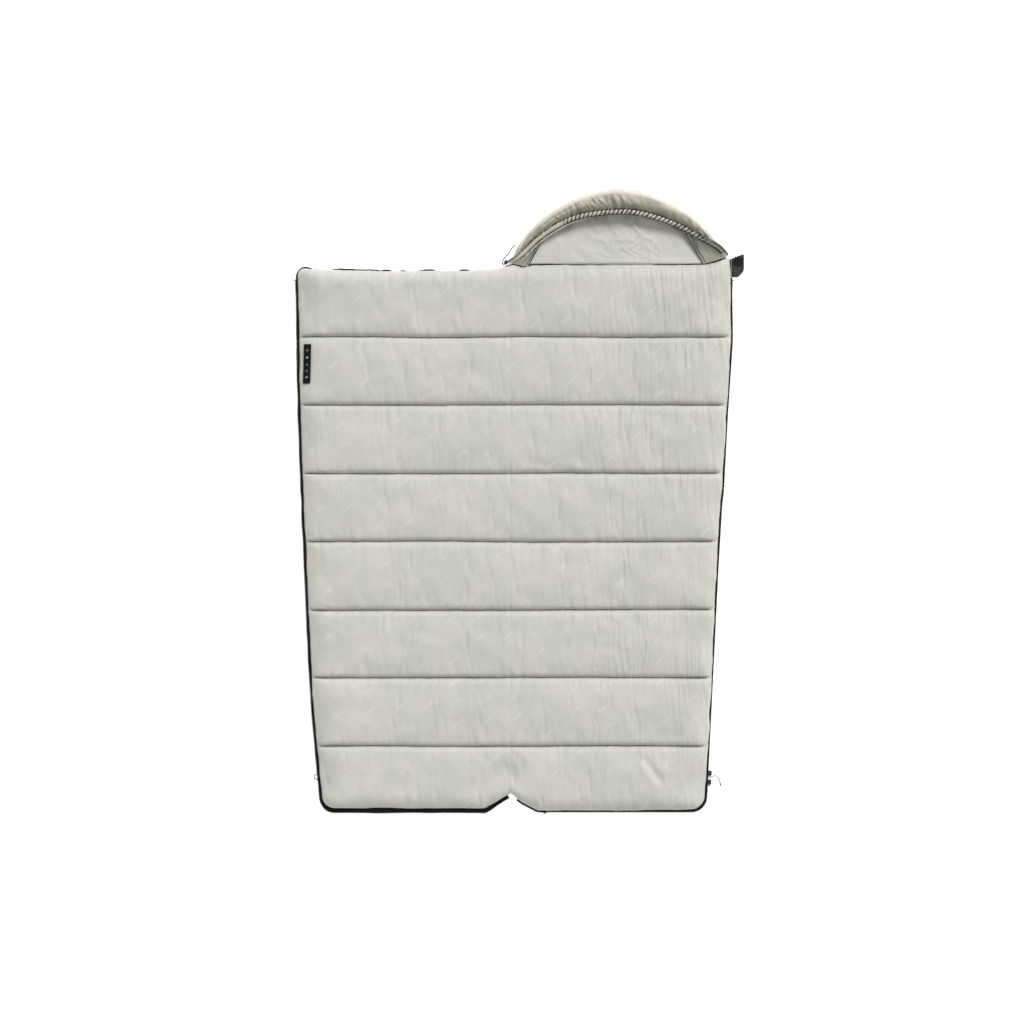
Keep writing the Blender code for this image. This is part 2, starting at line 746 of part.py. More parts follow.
def cord_tail(inside, heading):
    """The free end of the drawcord: out of the tunnel, through the lock and round to its knot."""
    lock = Vector((LOCK_X, LOCK_Y, LOCK_CORD_Z))
    route = [
        inside + heading * 0.0015,
        inside.lerp(lock, 0.5),
        lock,
        lock + heading * 0.0095,
        lock + heading * 0.0135 + Vector((-0.0030, 0.0060, -0.0015)),
        Vector((-0.0340, 0.9840, 0.0085)),
        Vector((-0.0240, 0.9945, 0.0065)),
        Vector((-0.0160, 1.0035, 0.0050)),
        Vector((-0.0115, 1.0130, 0.0040)),
        Vector((-0.0060, 1.0215, 0.0035)),
        Vector((0.0000, 1.0265, 0.0035)),
    ]
    points = smooth_route(route, 0.004)
    tube("drawcord_tail", points, TAIL_R, "black_tape")
    bm = bmesh.new()
    bmesh.ops.create_uvsphere(bm, u_segments=10, v_segments=6, radius=0.0027)
    mesh = bpy.data.meshes.new("tail_knot")
    bm.to_mesh(mesh)
    bm.free()
    mesh.shade_smooth()
    knot = add("tail_knot", mesh, "black_tape")
    knot.location = points[-1] + (points[-1] - points[-2]).normalized() * 0.0031


def lock_spring():
    """The coil under the plunger."""
    turns, steps, radius, wire = 2.0, 10, 0.0036, 0.0003
    low, high = LOCK_BORE_BOTTOM + wire + 0.0002, PLUNGER_BOTTOM - wire - 0.0002
    points = []
    for n in range(round(turns * steps) + 1):
        angle = 2 * math.pi * n / steps
        z = low + (high - low) * n / (turns * steps)
        points.append(Vector((LOCK_X + radius * math.cos(angle), LOCK_Y + radius * math.sin(angle), z)))
    tube("lock_spring", points, wire, "steel")


def flap():
    """The closing flap at the right head corner, with its square of hook tape."""
    reach, top, bottom = 0.0445, 0.0415, -0.0390
    outline = [(0.0009, bottom), (reach - 0.014, bottom)]
    for n in range(1, 6):
        angle = math.radians(-90 + 18 * n)
        outline.append((reach - 0.014 + 0.014 * math.cos(angle), bottom + 0.014 + 0.014 * math.sin(angle)))
    outline += [(reach, top - 0.005), (reach - 0.004, top), (0.0009, top - 0.012)]
    flat("flap", [outline], FLAP_HALF_THICKNESS, "flap", (FLAP_HINGE_X, 0.957, FLAP_Z))
    size = HOOK_SIZE / 2
    hook = box("hook_patch", (-size, -size, 0), (size, size, HOOK_THICKNESS), "black_plastic")
    hook.location = (HOOK_X, HOOK_Y, HOOK_BOTTOM)
    hook.rotation_euler = (0, 0, HOOK_TURN)


def loop_patch():
    """Loop tape under the left half's head corner, which the flap's hooks meet when the quilt is zipped up."""

    def place(inward, y):
        x = half_width(y) - inward
        return Vector((-x, y, shell_z(x, y) - FABRIC - 0.0003))

    sheet("loop_patch", [0.004, 0.011, 0.018, 0.024], [0.835, 0.865, 0.892], place, "black_tape", 0.0006)


def label():
    """The woven label near the open edge of the left half."""

    def place(inward, y):
        x = half_width(y) - inward
        lean = 0.004 * (y - 0.615) / 0.136
        return Vector((-x + lean, y, lining_z(x, y) + LABEL_CLEAR))

    rows = [0.547 + 0.136 * n / 6 for n in range(7)]
    sheet("label", [0.008, 0.016, 0.025, 0.034], rows, place, "black_tape", 0.0006)


def hang_loop():
    """A cord loop outside the zip near the left foot corner."""
    foot = half_width(LOOP_Y) + COIL_OFFSET + COIL_R + LOOP_R + 0.0025
    points = []
    for n in range(13):
        angle = math.pi * (n / 12 - 0.5)
        x = foot + LOOP_REACH * math.cos(angle) ** 0.8
        points.append(Vector((-x, LOOP_Y + LOOP_SPREAD * math.sin(angle), LOOP_Z)))
    tube("hang_loop", points, LOOP_R, "black_tape")


def build():
    global parts, cutters
    clear_scene()
    parts = new_collection("camp_quilt")
    cutters = new_collection("cutters")
    for side, word in ((1, "right"), (-1, "left")):
        half(side, word)
    bindings()
    sliders()
    hood_back()
    crown()
    mouth, inside = hem()
    gussets()
    heading = cord_lock(mouth, inside)
    cord_tail(inside, heading)
    lock_spring()
    flap()
    loop_patch()
    label()
    hang_loop()


build()
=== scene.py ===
import math

import bmesh
import bpy
import numpy as np
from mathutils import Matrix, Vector


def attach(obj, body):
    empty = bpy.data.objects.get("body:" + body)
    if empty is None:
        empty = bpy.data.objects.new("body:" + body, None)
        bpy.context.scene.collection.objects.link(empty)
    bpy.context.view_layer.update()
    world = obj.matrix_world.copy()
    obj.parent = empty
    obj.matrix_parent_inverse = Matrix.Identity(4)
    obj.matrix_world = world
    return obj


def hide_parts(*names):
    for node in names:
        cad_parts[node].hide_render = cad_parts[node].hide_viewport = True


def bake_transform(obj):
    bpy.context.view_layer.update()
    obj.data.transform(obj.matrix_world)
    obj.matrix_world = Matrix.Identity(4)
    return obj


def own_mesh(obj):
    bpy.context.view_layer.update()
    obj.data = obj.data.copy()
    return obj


# Hooded camp quilt: an envelope sleeping bag unzipped all round and laid open, lining up.
# Metres, +Z up. X = 0 is the fold, Y runs from the foot (-) to the head (+), Z = 0 is the ground.

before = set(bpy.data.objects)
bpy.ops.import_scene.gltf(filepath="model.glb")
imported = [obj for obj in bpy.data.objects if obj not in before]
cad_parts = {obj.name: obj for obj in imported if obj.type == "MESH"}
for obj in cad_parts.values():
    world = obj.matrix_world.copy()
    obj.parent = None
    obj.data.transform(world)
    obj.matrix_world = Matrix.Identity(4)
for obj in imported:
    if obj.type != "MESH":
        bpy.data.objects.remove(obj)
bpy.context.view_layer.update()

# ---------------------------------------------------------------- camera

CAMERA_PLACE = (-0.007, 0.1025, 8.40)
CAMERA_LENS = 85
CAMERA_SENSOR = 36


def make_camera():
    data = bpy.data.cameras.new("camera")
    data.lens = CAMERA_LENS
    data.sensor_width = CAMERA_SENSOR
    data.clip_end = 100
    camera = bpy.data.objects.new("camera", data)
    camera.location = CAMERA_PLACE
    bpy.context.scene.collection.objects.link(camera)
    bpy.context.scene.camera = camera


make_camera()

# ---------------------------------------------------------------- noise and meshes

LATTICE = np.random.default_rng(11).random((256, 256)) * 2 - 1


def smooth(t):
    t = np.clip(t, 0.0, 1.0)
    return t * t * (3 - 2 * t)


def bell(away, width):
    return np.exp(-((away / width) ** 2))


def lumps(x, y, size_x, size_y, seed):
    """Smooth noise from -1 to 1, with lumps of about that size."""
    u = np.asarray(x) / size_x + 37.7 * seed
    v = np.asarray(y) / size_y + 61.3 * seed
    i, j = np.floor(u).astype(int), np.floor(v).astype(int)
    s, t = smooth(u - i), smooth(v - j)
    i0, i1, j0, j1 = i % 256, (i + 1) % 256, j % 256, (j + 1) % 256
    low = LATTICE[i0, j0] * (1 - s) + LATTICE[i1, j0] * s
    high = LATTICE[i0, j1] * (1 - s) + LATTICE[i1, j1] * s
    return low * (1 - t) + high * t


def waves(along, size, seed):
    """The same noise along a line."""
    return lumps(along, 0 * along, size, 1.0, seed)


def creases(x, y, size_x, size_y, seed):
    """Sharp-topped ridges from -1 to 1, a size apart, bent a little so that they don't run true."""
    bend = 0.8 * size_x * lumps(x, y, 4 * size_x, 0.6 * size_y, seed + 5)
    return 1 - 2.4 * np.abs(lumps(x + bend, y, size_x, size_y, seed))


def unit(vectors):
    return vectors / np.linalg.norm(vectors, axis=-1, keepdims=True)


def gone_along(path):
    """How far along a path each of its points is."""
    return np.concatenate([[0], np.cumsum(np.linalg.norm(np.diff(path, axis=0), axis=1))])


def xyz(*values):
    """Coordinates as one array, with x, y and z last."""
    return np.stack(np.broadcast_arrays(*values), axis=-1)


def grid_faces(rows, columns, wrap=False):
    """Quads over a grid of points, row by row; wrap joins the last column to the first."""
    spans = columns if wrap else columns - 1
    r, c = np.meshgrid(np.arange(rows - 1), np.arange(spans), indexing="ij")
    a = r * columns + c
    b = r * columns + (c + 1) % columns
    return xyz(a, b, b + columns, a + columns).reshape(-1, 4)


def link(name, data):
    made = bpy.data.objects.new(name, data)
    bpy.context.scene.collection.objects.link(made)
    return made


def surface(name, points, material, cloth=None, wrap=False, flip=False):
    """An object over a grid of points (rows, columns, 3). cloth holds its flat coordinates for the weave."""
    points = np.asarray(points, float)
    rows, columns = points.shape[:2]
    faces = grid_faces(rows, columns, wrap)
    if flip:
        faces = faces[:, ::-1]
    mesh = bpy.data.meshes.new(name)
    mesh.vertices.add(rows * columns)
    mesh.vertices.foreach_set("co", points.reshape(-1))
    mesh.loops.add(faces.size)
    mesh.loops.foreach_set("vertex_index", faces.reshape(-1))
    mesh.polygons.add(len(faces))
    mesh.polygons.foreach_set("loop_start", np.arange(0, faces.size, 4))
    mesh.update(calc_edges=True)
    flat = points[..., :2] if cloth is None else np.asarray(cloth, float)
    layer = mesh.uv_layers.new(name="cloth")
    layer.data.foreach_set("uv", flat.reshape(-1, 2)[faces.reshape(-1)].reshape(-1))
    mesh.shade_smooth()
    mesh.materials.append(material)
    return link(name, mesh)


def placed(made, body, slot, *nodes):
    """The piece rides on a body, or is handed to a function in its place, and stands in for these CAD nodes,
    which it hides. slot is not used.
    """
    if nodes:
        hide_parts(*nodes)
    if callable(body):
        body(made)
    else:
        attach(made, body)
    return made


def from_bmesh(name, bm, material):
    bmesh.ops.recalc_face_normals(bm, faces=bm.faces)
    mesh = bpy.data.meshes.new(name)
    bm.to_mesh(mesh)
    bm.free()
    mesh.uv_layers.new(name="cloth")
    mesh.materials.append(material)
    return link(name, mesh)


def thicken(made, thickness, offset=-1.0):
    solid = made.modifiers.new("thickness", "SOLIDIFY")
    solid.thickness = thickness
    solid.offset = offset
    return made


def block(name, low, high, material):
    """A closed pad between two grids of points, with its four sides."""
    low, high = np.asarray(low, float), np.asarray(high, float)
    rows, columns = low.shape[:2]
    count = rows * columns
    under = grid_faces(rows, columns)[:, ::-1]
    over = grid_faces(rows, columns) + count
    loop = list(range(columns)) + [r * columns + columns - 1 for r in range(1, rows)]
    loop += [(rows - 1) * columns + c for c in range(columns - 2, -1, -1)]
    loop += [r * columns for r in range(rows - 2, 0, -1)]
    ring = np.array(loop)
    after = np.roll(ring, -1)
    sides = xyz(ring, after, after + count, ring + count)
    mesh = bpy.data.meshes.new(name)
    points = np.concatenate([low.reshape(-1, 3), high.reshape(-1, 3)])
    mesh.from_pydata(points.tolist(), [], np.concatenate([under, over, sides]).tolist())
    mesh.shade_smooth()
    mesh.materials.append(material)
    return link(name, mesh)


def rings_along(points, radius, sides):
    """Rings of points round a path. radius is a number, or an array (points, sides)."""
    path = np.asarray(points, float)
    ahead = unit(np.gradient(path, axis=0))
    aside = np.cross(ahead, (0.0, 0.0, 1.0))
    aside /= np.linalg.norm(aside, axis=1, keepdims=True) + 1e-9
    above = np.cross(aside, ahead)
    angle = 2 * np.pi * np.arange(sides) / sides
    angle = angle[None, :, None]
    shape = aside[:, None] * np.cos(angle) + above[:, None] * np.sin(angle)
    return path[:, None] + shape * np.broadcast_to(radius, (len(path), sides))[..., None]


def tube(name, points, radius, sides, material):
    """A mesh tube along a path, with its ends closed."""
    rings = rings_along(points, radius, sides)
    path = np.asarray(points, float)
    first, last = (np.broadcast_to(end, (1, sides, 3)) for end in (path[0], path[-1]))
    rings = np.concatenate([first, rings, last])
    along = gone_along(rings[:, 0])
    cloth = xyz(*np.meshgrid(np.arange(sides) * 0.001, along))
    made = surface(name, rings, material, cloth, wrap=True)
    weld = bmesh.new()
    weld.from_mesh(made.data)
    bmesh.ops.remove_doubles(weld, verts=weld.verts, dist=1e-6)
    weld.to_mesh(made.data)
    weld.free()
    return made


def close_ends(made):
    """Faces over the open ends of a tube."""
    bm = bmesh.new()
    bm.from_mesh(made.data)
    bmesh.ops.holes_fill(bm, edges=[e for e in bm.edges if e.is_boundary])
    bm.to_mesh(made.data)
    bm.free()


def curve(name, points, radius, material, resolution=2, cyclic=False):
    data = bpy.data.curves.new(name, "CURVE")
    data.dimensions = "3D"
    data.bevel_depth = radius
    data.bevel_resolution = resolution
    data.use_fill_caps = True
    spline = data.splines.new("POLY")
    spline.points.add(len(points) - 1)
    for node, place in zip(spline.points, points):
        node.co = (*place, 1.0)
    spline.use_cyclic_u = cyclic
    data.materials.append(material)
    return link(name, data)


ROUTE_FINENESS = 24


def between(a, b, c, d, t):
    """A place between b and c on a smooth curve through a, b, c and d."""
    even_part = 2 * b + (c - a) * t + (2 * a - 5 * b + 4 * c - d) * t * t
    return 0.5 * (even_part + (3 * b - a - 3 * c + d) * t**3)


def smooth_route(points, step):
    """Points a step apart on a smooth curve through a few route points."""
    points = [Vector(p) for p in points]
    ends = [points[0] * 2 - points[1], *points, points[-1] * 2 - points[-2]]
    fine = []
    for i in range(len(ends) - 3):
        fine += [between(*ends[i : i + 4], n / ROUTE_FINENESS) for n in range(ROUTE_FINENESS)]
    return even(np.array([*fine, points[-1]]), step)


def even(path, step):
    """The same path with its points an even step apart."""
    path = np.asarray(path, float)
    gone = gone_along(path)
    count = max(3, round(gone[-1] / step) + 1)
    wanted = np.linspace(0, gone[-1], count)
    return np.stack([np.interp(wanted, gone, path[:, k]) for k in range(path.shape[1])], axis=1)


def length_of(path):
    return float(np.linalg.norm(np.diff(np.asarray(path), axis=0), axis=1).sum())


# ---------------------------------------------------------------- materials


class Material:
    """A Principled material and short calls to build its nodes."""

    def __init__(self, name, colour, roughness, metallic=0.0, sheen=0.0, specular=0.5, coat=0.0):
        self.made = bpy.data.materials.new(name)
        self.made.use_nodes = True
        self.tree = self.made.node_tree
        self.shader = self.tree.nodes["Principled BSDF"]
        for socket, value in (
            ("Base Color", (*colour, 1)),
            ("Roughness", roughness),
            ("Metallic", metallic),
            ("Sheen Weight", sheen),
            ("Sheen Roughness", 0.4),
            ("Specular IOR Level", specular),
            ("Coat Weight", coat),
        ):
            self.shader.inputs[socket].default_value = value

    def node(self, kind, **values):
        made = self.tree.nodes.new(kind)
        for key, value in values.items():
            setattr(made, key, value)
        return made

    def join(self, out, into):
        self.tree.links.new(out, into)

    def cloth(self):
        """Flat coordinates on the cloth, in metres."""
        made = self.node("ShaderNodeUVMap", uv_map="cloth")
        return made.outputs["UV"]

    def place(self):
        return self.node("ShaderNodeTexCoord").outputs["Object"]

    def axes(self, at):
        made = self.node("ShaderNodeSeparateXYZ")
        self.join(at, made.inputs[0])
        return made.outputs

    def math(self, operation, a, b=None, clamp=False):
        made = self.node("ShaderNodeMath", operation=operation, use_clamp=clamp)
        for k, value in enumerate((a, b)):
            if value is None:
                continue
            if isinstance(value, (int, float)):
                made.inputs[k].default_value = value
            else:
                self.join(value, made.inputs[k])
        return made.outputs[0]

    def noise(self, at, scale, detail=2.0, rough=0.5):
        made = self.node("ShaderNodeTexNoise")
        made.inputs["Scale"].default_value = scale
        made.inputs["Detail"].default_value = detail
        made.inputs["Roughness"].default_value = rough
        self.join(at, made.inputs["Vector"])
        return made.outputs["Fac"]

    def stretched(self, at, scale):
        made = self.node("ShaderNodeVectorMath", operation="MULTIPLY")
        self.join(at, made.inputs[0])
        made.inputs[1].default_value = scale
        return made.outputs[0]

    def turned(self, at, angle):
        made = self.node("ShaderNodeVectorRotate", rotation_type="Z_AXIS")
        made.inputs["Angle"].default_value = angle
        self.join(at, made.inputs["Vector"])
        return made.outputs[0]

    def threads(self, at, across, pitch):
        """One set of threads, as a wave across x or y."""
        made = self.node("ShaderNodeTexWave", bands_direction=across)
        made.inputs["Scale"].default_value = 0.314 / pitch
        made.inputs["Distortion"].default_value = 0.6
        made.inputs["Detail"].default_value = 1.0
        self.join(at, made.inputs["Vector"])
        return made.outputs["Fac"]

    def ramp(self, value, low, high, start=0.0, end=1.0):
        made = self.node("ShaderNodeMapRange", interpolation_type="SMOOTHSTEP")
        self.join(value, made.inputs["Value"])
        for socket, number in (("From Min", low), ("From Max", high), ("To Min", start), ("To Max", end)):
            made.inputs[socket].default_value = number
        return made.outputs["Result"]

    def mix(self, factor, a, b):
        made = self.node("ShaderNodeMix", data_type="RGBA")
        if isinstance(factor, float):
            made.inputs["Factor"].default_value = factor
        else:
            self.join(factor, made.inputs["Factor"])
        for socket, value in (("A", a), ("B", b)):
            into = next(i for i in made.inputs if i.name == socket and i.type == "RGBA")
            if isinstance(value, tuple):
                into.default_value = (*value, 1)
            else:
                self.join(value, into)
        return next(o for o in made.outputs if o.type == "RGBA")

    def painted(self):
        return self.shader.inputs["Base Color"].links[0].from_socket

    def paint(self, colour):
        self.join(colour, self.shader.inputs["Base Color"])

    def roughen(self, at, scale, low, high):
        self.join(self.ramp(self.noise(at, scale, 3.0), 0.3, 0.7, low, high), self.shader.inputs["Roughness"])

    def bump(self, height, distance, strength=1.0):
        made = self.node("ShaderNodeBump")
        made.inputs["Distance"].default_value = distance
        made.inputs["Strength"].default_value = strength
        self.join(height, made.inputs["Height"])
        before = self.shader.inputs["Normal"].links
        if before:
            self.join(before[0].from_socket, made.inputs["Normal"])
        self.join(made.outputs["Normal"], self.shader.inputs["Normal"])


def shade(colour, by):
    return tuple(min(1.0, c * by) for c in colour)


def woven(name, colour, roughness=0.62, sheen=0.25, pitch=0.0007, uneven=0.06, print_on=False):
    """Woven nylon: fine threads both ways, soft unevenness, and small crinkles."""
    m = Material(name, colour, roughness, sheen=sheen, specular=0.35)
    at = m.cloth()
    broad = m.ramp(m.noise(at, 5.0, 3.0, 0.6), 0.3, 0.7)
    fine = m.ramp(m.noise(at, 60.0, 4.0, 0.6), 0.35, 0.65)
    cool = tuple(c * k for c, k in zip(shade(colour, 1 - uneven), (0.985, 1.0, 0.985)))
    warm = tuple(c * k for c, k in zip(shade(colour, 1 + 0.5 * uneven), (1.015, 1.0, 0.990)))
    base = m.mix(broad, cool, warm)
    base = m.mix(m.math("MULTIPLY", fine, 0.25), base, shade(colour, 1 - 1.6 * uneven))
    if print_on:
        base = m.mix(m.math("MULTIPLY", slanted_marks(m, at), 0.50), base, shade(colour, 1.22))
    m.paint(base)
    warp, weft = m.threads(at, "X", pitch), m.threads(at, "Y", pitch)
    m.bump(m.math("ADD", warp, weft), 0.00006, 0.6)
    m.bump(m.noise(m.stretched(at, (1.0, 0.45, 1.0)), 130.0, 4.0, 0.55), 0.0012, 0.6)
    if print_on:
        streaks = m.noise(m.stretched(at, (1.0, 0.07, 1.0)), 150.0, 3.0, 0.6)
        rightward = m.ramp(m.axes(at)["X"], 0.12, 0.45, 0.35, 1.0)
        loose = m.math("MULTIPLY", rightward, m.ramp(m.noise(at, 7.0, 2.0), 0.35, 0.6, 0.3, 1.0))
        m.bump(m.math("MULTIPLY", streaks, loose), 0.0030, 0.8)
    m.roughen(at, 22.0, roughness - 0.07, roughness + 0.08)
    return m


def fabric(name, colour, **details):
    return woven(name, colour, **details).made


ROPE_PITCH = 0.0148
MARK_PITCH = (0.1012, 0.0709)
MARK_GRID_TURN = math.radians(5.9)
MARK_TURN = math.radians(42)


def slanted_marks(m, at):
    """A generic printed pattern: short slanted strokes of broken dashes on a grid."""
    cells = m.stretched(m.turned(at, -MARK_GRID_TURN), (1 / MARK_PITCH[0], 1 / MARK_PITCH[1], 1.0))
    part = m.node("ShaderNodeVectorMath", operation="FRACTION")
    m.join(cells, part.inputs[0])
    middle = m.node("ShaderNodeVectorMath", operation="SUBTRACT")
    m.join(part.outputs[0], middle.inputs[0])
    middle.inputs[1].default_value = (0.5, 0.5, 0.0)
    back = m.stretched(middle.outputs[0], (*MARK_PITCH, 0.0))
    axes = m.axes(m.turned(back, MARK_GRID_TURN - MARK_TURN))
    along, across = axes["X"], axes["Y"]
    long = m.ramp(m.math("ABSOLUTE", along), 0.019, 0.025, 1.0, 0.0)
    thin = m.ramp(m.math("ABSOLUTE", across), 0.0030, 0.0052, 1.0, 0.0)
    dashes = m.ramp(m.math("SINE", m.math("MULTIPLY", along, 2 * math.pi / 0.0078)), -0.9, 0.3)
    patchy = m.ramp(m.noise(at, 11.0, 2.0), 0.38, 0.60, 0.40, 1.0)
    return m.math("MULTIPLY", m.math("MULTIPLY", long, thin), m.math("MULTIPLY", dashes, patchy))


WEBBING_ROUGHNESS = 0.8


def webbing(name, colour, pitch=0.0016, fleck=None):
    """Woven tape: ribs along it, with flecks of a lighter yarn where asked."""
    m = Material(name, colour, WEBBING_ROUGHNESS, sheen=0.02, specular=0.12)
    at = m.cloth()
    base = m.mix(m.ramp(m.noise(at, 90.0, 4.0, 0.6), 0.3, 0.7), shade(colour, 0.75), shade(colour, 1.35))
    if fleck:
        spots = m.ramp(m.noise(at, 330.0, 3.0, 0.7), 0.52, 0.62)
        base = m.mix(m.math("MULTIPLY", spots, 0.7), base, fleck)
    m.paint(base)
    ribs = m.math("ADD", m.threads(at, "X", pitch), m.math("MULTIPLY", m.threads(at, "Y", pitch), 0.6))
    m.bump(ribs, 0.00025, 0.8)
    m.roughen(at, 55.0, WEBBING_ROUGHNESS - 0.1, WEBBING_ROUGHNESS + 0.1)
    return m.made


def braid(name, colour, pitch=0.0018):
    """Braided cord: two crossing sets of strands."""
    m = Material(name, colour, 0.8, sheen=0.02, specular=0.12)
    at = m.place()
    mirrored = m.stretched(at, (-1.0, 1.0, 1.0))
    strands = m.math("MAXIMUM", m.threads(at, "DIAGONAL", pitch), m.threads(mirrored, "DIAGONAL", pitch))
    m.paint(m.mix(strands, shade(colour, 0.5), shade(colour, 1.8)))
    m.bump(strands, 0.0003, 0.9)
    return m.made


def moulded(name, colour, roughness, metallic=0.0, grain=900.0, wear=1.6):
    """Moulded plastic or painted metal: fine grain, and edges rubbed lighter."""
    m = Material(name, colour, roughness, metallic=metallic, specular=0.5, coat=0.1 if metallic else 0.0)
    at = m.place()
    edge = m.node("ShaderNodeNewGeometry").outputs["Pointiness"]
    rubbed = m.math("MULTIPLY", m.ramp(edge, 0.52, 0.62), m.ramp(m.noise(at, 260.0, 4.0), 0.4, 0.6, 0.2, 1.0))
    mottled = m.mix(m.noise(at, 140.0, 3.0), shade(colour, 0.8), shade(colour, 1.25))
    m.paint(m.mix(rubbed, mottled, shade(colour, wear * 2)))
    m.bump(m.noise(at, grain, 3.0), 0.00008, 0.5)
    m.roughen(at, 420.0, roughness - 0.08, roughness + 0.12)
    return m.made


def shell_with_painted_hem_shade(name, outer, inner):
    """The hood's shell fabric, with painted shade: paler outside, and darkened towards the hem, where the
    band faces away from the light.
    """
    m = woven(name, outer, roughness=0.58, sheen=0.3)
    patchy = m.math("MULTIPLY", m.noise(m.cloth(), 40.0, 3.0), 0.030)
    # Painted shade: towards the hem, the band's colour is mixed into the dark second colour (inner).
    near = m.ramp(m.math("ADD", m.axes(m.cloth())["X"], patchy), 0.070, 0.128)
    m.paint(m.mix(near, m.painted(), inner))
    return m.made


def hem_with_painted_fold_shade(name, high, low):
    """The same fabric with painted shade in the folds between its gathers, less of it where the tunnel is
    slack.
    """
    m = woven(name, high, uneven=0.10)
    axes = m.axes(m.cloth())
    turned = m.math("SINE", m.math("MULTIPLY", axes["Y"], math.pi / ROPE_PITCH))
    broken = m.ramp(m.noise(m.place(), 70.0, 3.0), 0.35, 0.65, -0.22, 0.22)
    open_fold = m.ramp(m.math("ADD", m.math("ABSOLUTE", turned), broken), 0.25, 0.90, 0.12, 1.0)
    loose = m.ramp(axes["X"], 0.0, 0.040, 0.0, 0.95)
    mottled = m.ramp(m.noise(m.place(), 130.0, 2.0), 0.35, 0.6, 0.0, 0.5)
    shown = m.math("MAXIMUM", open_fold, m.math("ADD", loose, mottled, clamp=True))
    # Painted shade: the folds between gathers are mixed into the near-black second colour (low).
    m.paint(m.mix(m.math("MULTIPLY", shown, m.math("MAXIMUM", open_fold, loose)), low, m.painted()))
    return m.made


def wadding(name):
    """Polyester batting: white matted fibre."""
    m = Material(name, (0.84, 0.84, 0.82), 0.95, sheen=0.4, specular=0.1)
    at = m.place()
    fibres = m.noise(m.stretched(at, (1.0, 3.0, 3.0)), 160.0, 6.0, 0.75)
    m.paint(m.mix(m.ramp(fibres, 0.3, 0.7), (0.66, 0.66, 0.64), (0.90, 0.90, 0.88)))
    m.bump(fibres, 0.003, 0.8)
    return m.made


LINING = fabric("lining_nylon", (0.590, 0.583, 0.530), print_on=True)
HOOD_LINING = fabric("hood_lining_nylon", (0.600, 0.592, 0.545), uneven=0.05)
SHELL = fabric("shell_nylon", (0.640, 0.592, 0.500), sheen=0.35, roughness=0.58)
# The second colour is painted shade on the band's hem side.
BAND = shell_with_painted_hem_shade("hood_shell_nylon", (0.640, 0.598, 0.520), (0.330, 0.318, 0.245))
# The second colour is painted shade in the folds between the hem's gathers.
HEM = hem_with_painted_fold_shade("hem_nylon", (0.600, 0.575, 0.490), (0.060, 0.060, 0.042))
GUSSET = fabric("gusset_nylon", (0.330, 0.338, 0.270), uneven=0.10)
BLACK_TAPE = webbing("zip_tape_weave", (0.0085, 0.0085, 0.009))
DARK_BINDING = webbing("binding_weave", (0.018, 0.019, 0.017), pitch=0.0012)
FLAP_CLOTH = webbing("flap_weave", (0.032, 0.036, 0.030), fleck=(0.16, 0.17, 0.15))
LABEL_CLOTH = webbing("label_weave", (0.0075, 0.0075, 0.008), pitch=0.0009)
THREAD = webbing("seam_thread", (0.145, 0.140, 0.118), pitch=0.0008)
# Near-black tubes that are painted shadow lines beside the hem and in the gussets' folds.
SHADOW_LINE = webbing("painted_shadow_line", (0.030, 0.031, 0.024), pitch=0.0008)
CORD = braid("cord_braid", (0.014, 0.014, 0.015))
BLACK_PLASTIC = moulded("moulded_black", (0.007, 0.007, 0.0075), 0.60)
HOOK_PLASTIC = moulded("hook_nylon", (0.0035, 0.0035, 0.0033), 0.85, wear=1.0)
COIL_PLASTIC = moulded("coil_nylon", (0.011, 0.011, 0.012), 0.42, grain=1500.0)
SLIDER_METAL = moulded("slider_enamel", (0.012, 0.012, 0.013), 0.42, metallic=0.35, wear=5.0)
SPRING_STEEL = moulded("spring_steel", (0.45, 0.45, 0.46), 0.30, metallic=1.0, wear=1.1)
BATTING = wadding("batting_fibre")

# ---------------------------------------------------------------- the free cords, which come first

PULL_CORD_ROUTE = (
    (0.678594, -0.819578, 0.01205),
    (0.6885, -0.8150, 0.0125),
    (0.6980, -0.8125, 0.0105),
    (0.7070, -0.8180, 0.0065),
    (0.7135, -0.8280, 0.0032),
    (0.7165, -0.8400, 0.0030),
)
PULL_CORD_R = 0.0013
PULL_TIP_R = 0.0022
PULL_TIP_LENGTH = 0.009
LOCK = Vector((-0.028, 0.969, 0.012))
LOCK_R = 0.0065
TAIL_HEADING = Vector((-0.701212, -0.712953, 0.0))
TAIL_ROUTE = (
    LOCK - TAIL_HEADING * (LOCK_R + 0.0015),
    LOCK,
    LOCK + TAIL_HEADING * 0.0095,
    LOCK + TAIL_HEADING * 0.0135 + Vector((-0.0030, 0.0060, -0.0015)),
    (-0.0340, 0.9840, 0.0085),
    (-0.0240, 0.9945, 0.0065),
    (-0.0160, 1.0035, 0.0050),
    (-0.0115, 1.0130, 0.0040),
    (-0.0060, 1.0215, 0.0035),
    (0.0000, 1.0265, 0.0035),
)
TAIL_R = 0.0015


def pull_cord():
    """The cord on the upper slider's pull, with its moulded tip."""
    path = smooth_route(PULL_CORD_ROUTE, 0.003)
    made = curve("pull_cord_braid", path, PULL_CORD_R, CORD, 3)
    placed(made, "upper_pull", "cord", "pull_cord")
    heading = Vector(path[-1] - path[-2]).normalized()
    stations = np.linspace(0, 1, 14)
    swell = PULL_TIP_R * (1 - 0.30 * stations) * (1 + 0.07 * np.sin(stations * 14 * np.pi) * (stations < 0.6))
    swell[0] *= 0.75
    swell[-1] *= 0.55
    spine = np.array([path[-1] + np.array(heading) * (0.0003 + s * PULL_TIP_LENGTH) for s in stations])
    tip = tube("pull_tip_moulded", spine, swell[:, None], 14, BLACK_PLASTIC)
    placed(tip, "upper_pull", "black_plastic", "pull_tip")


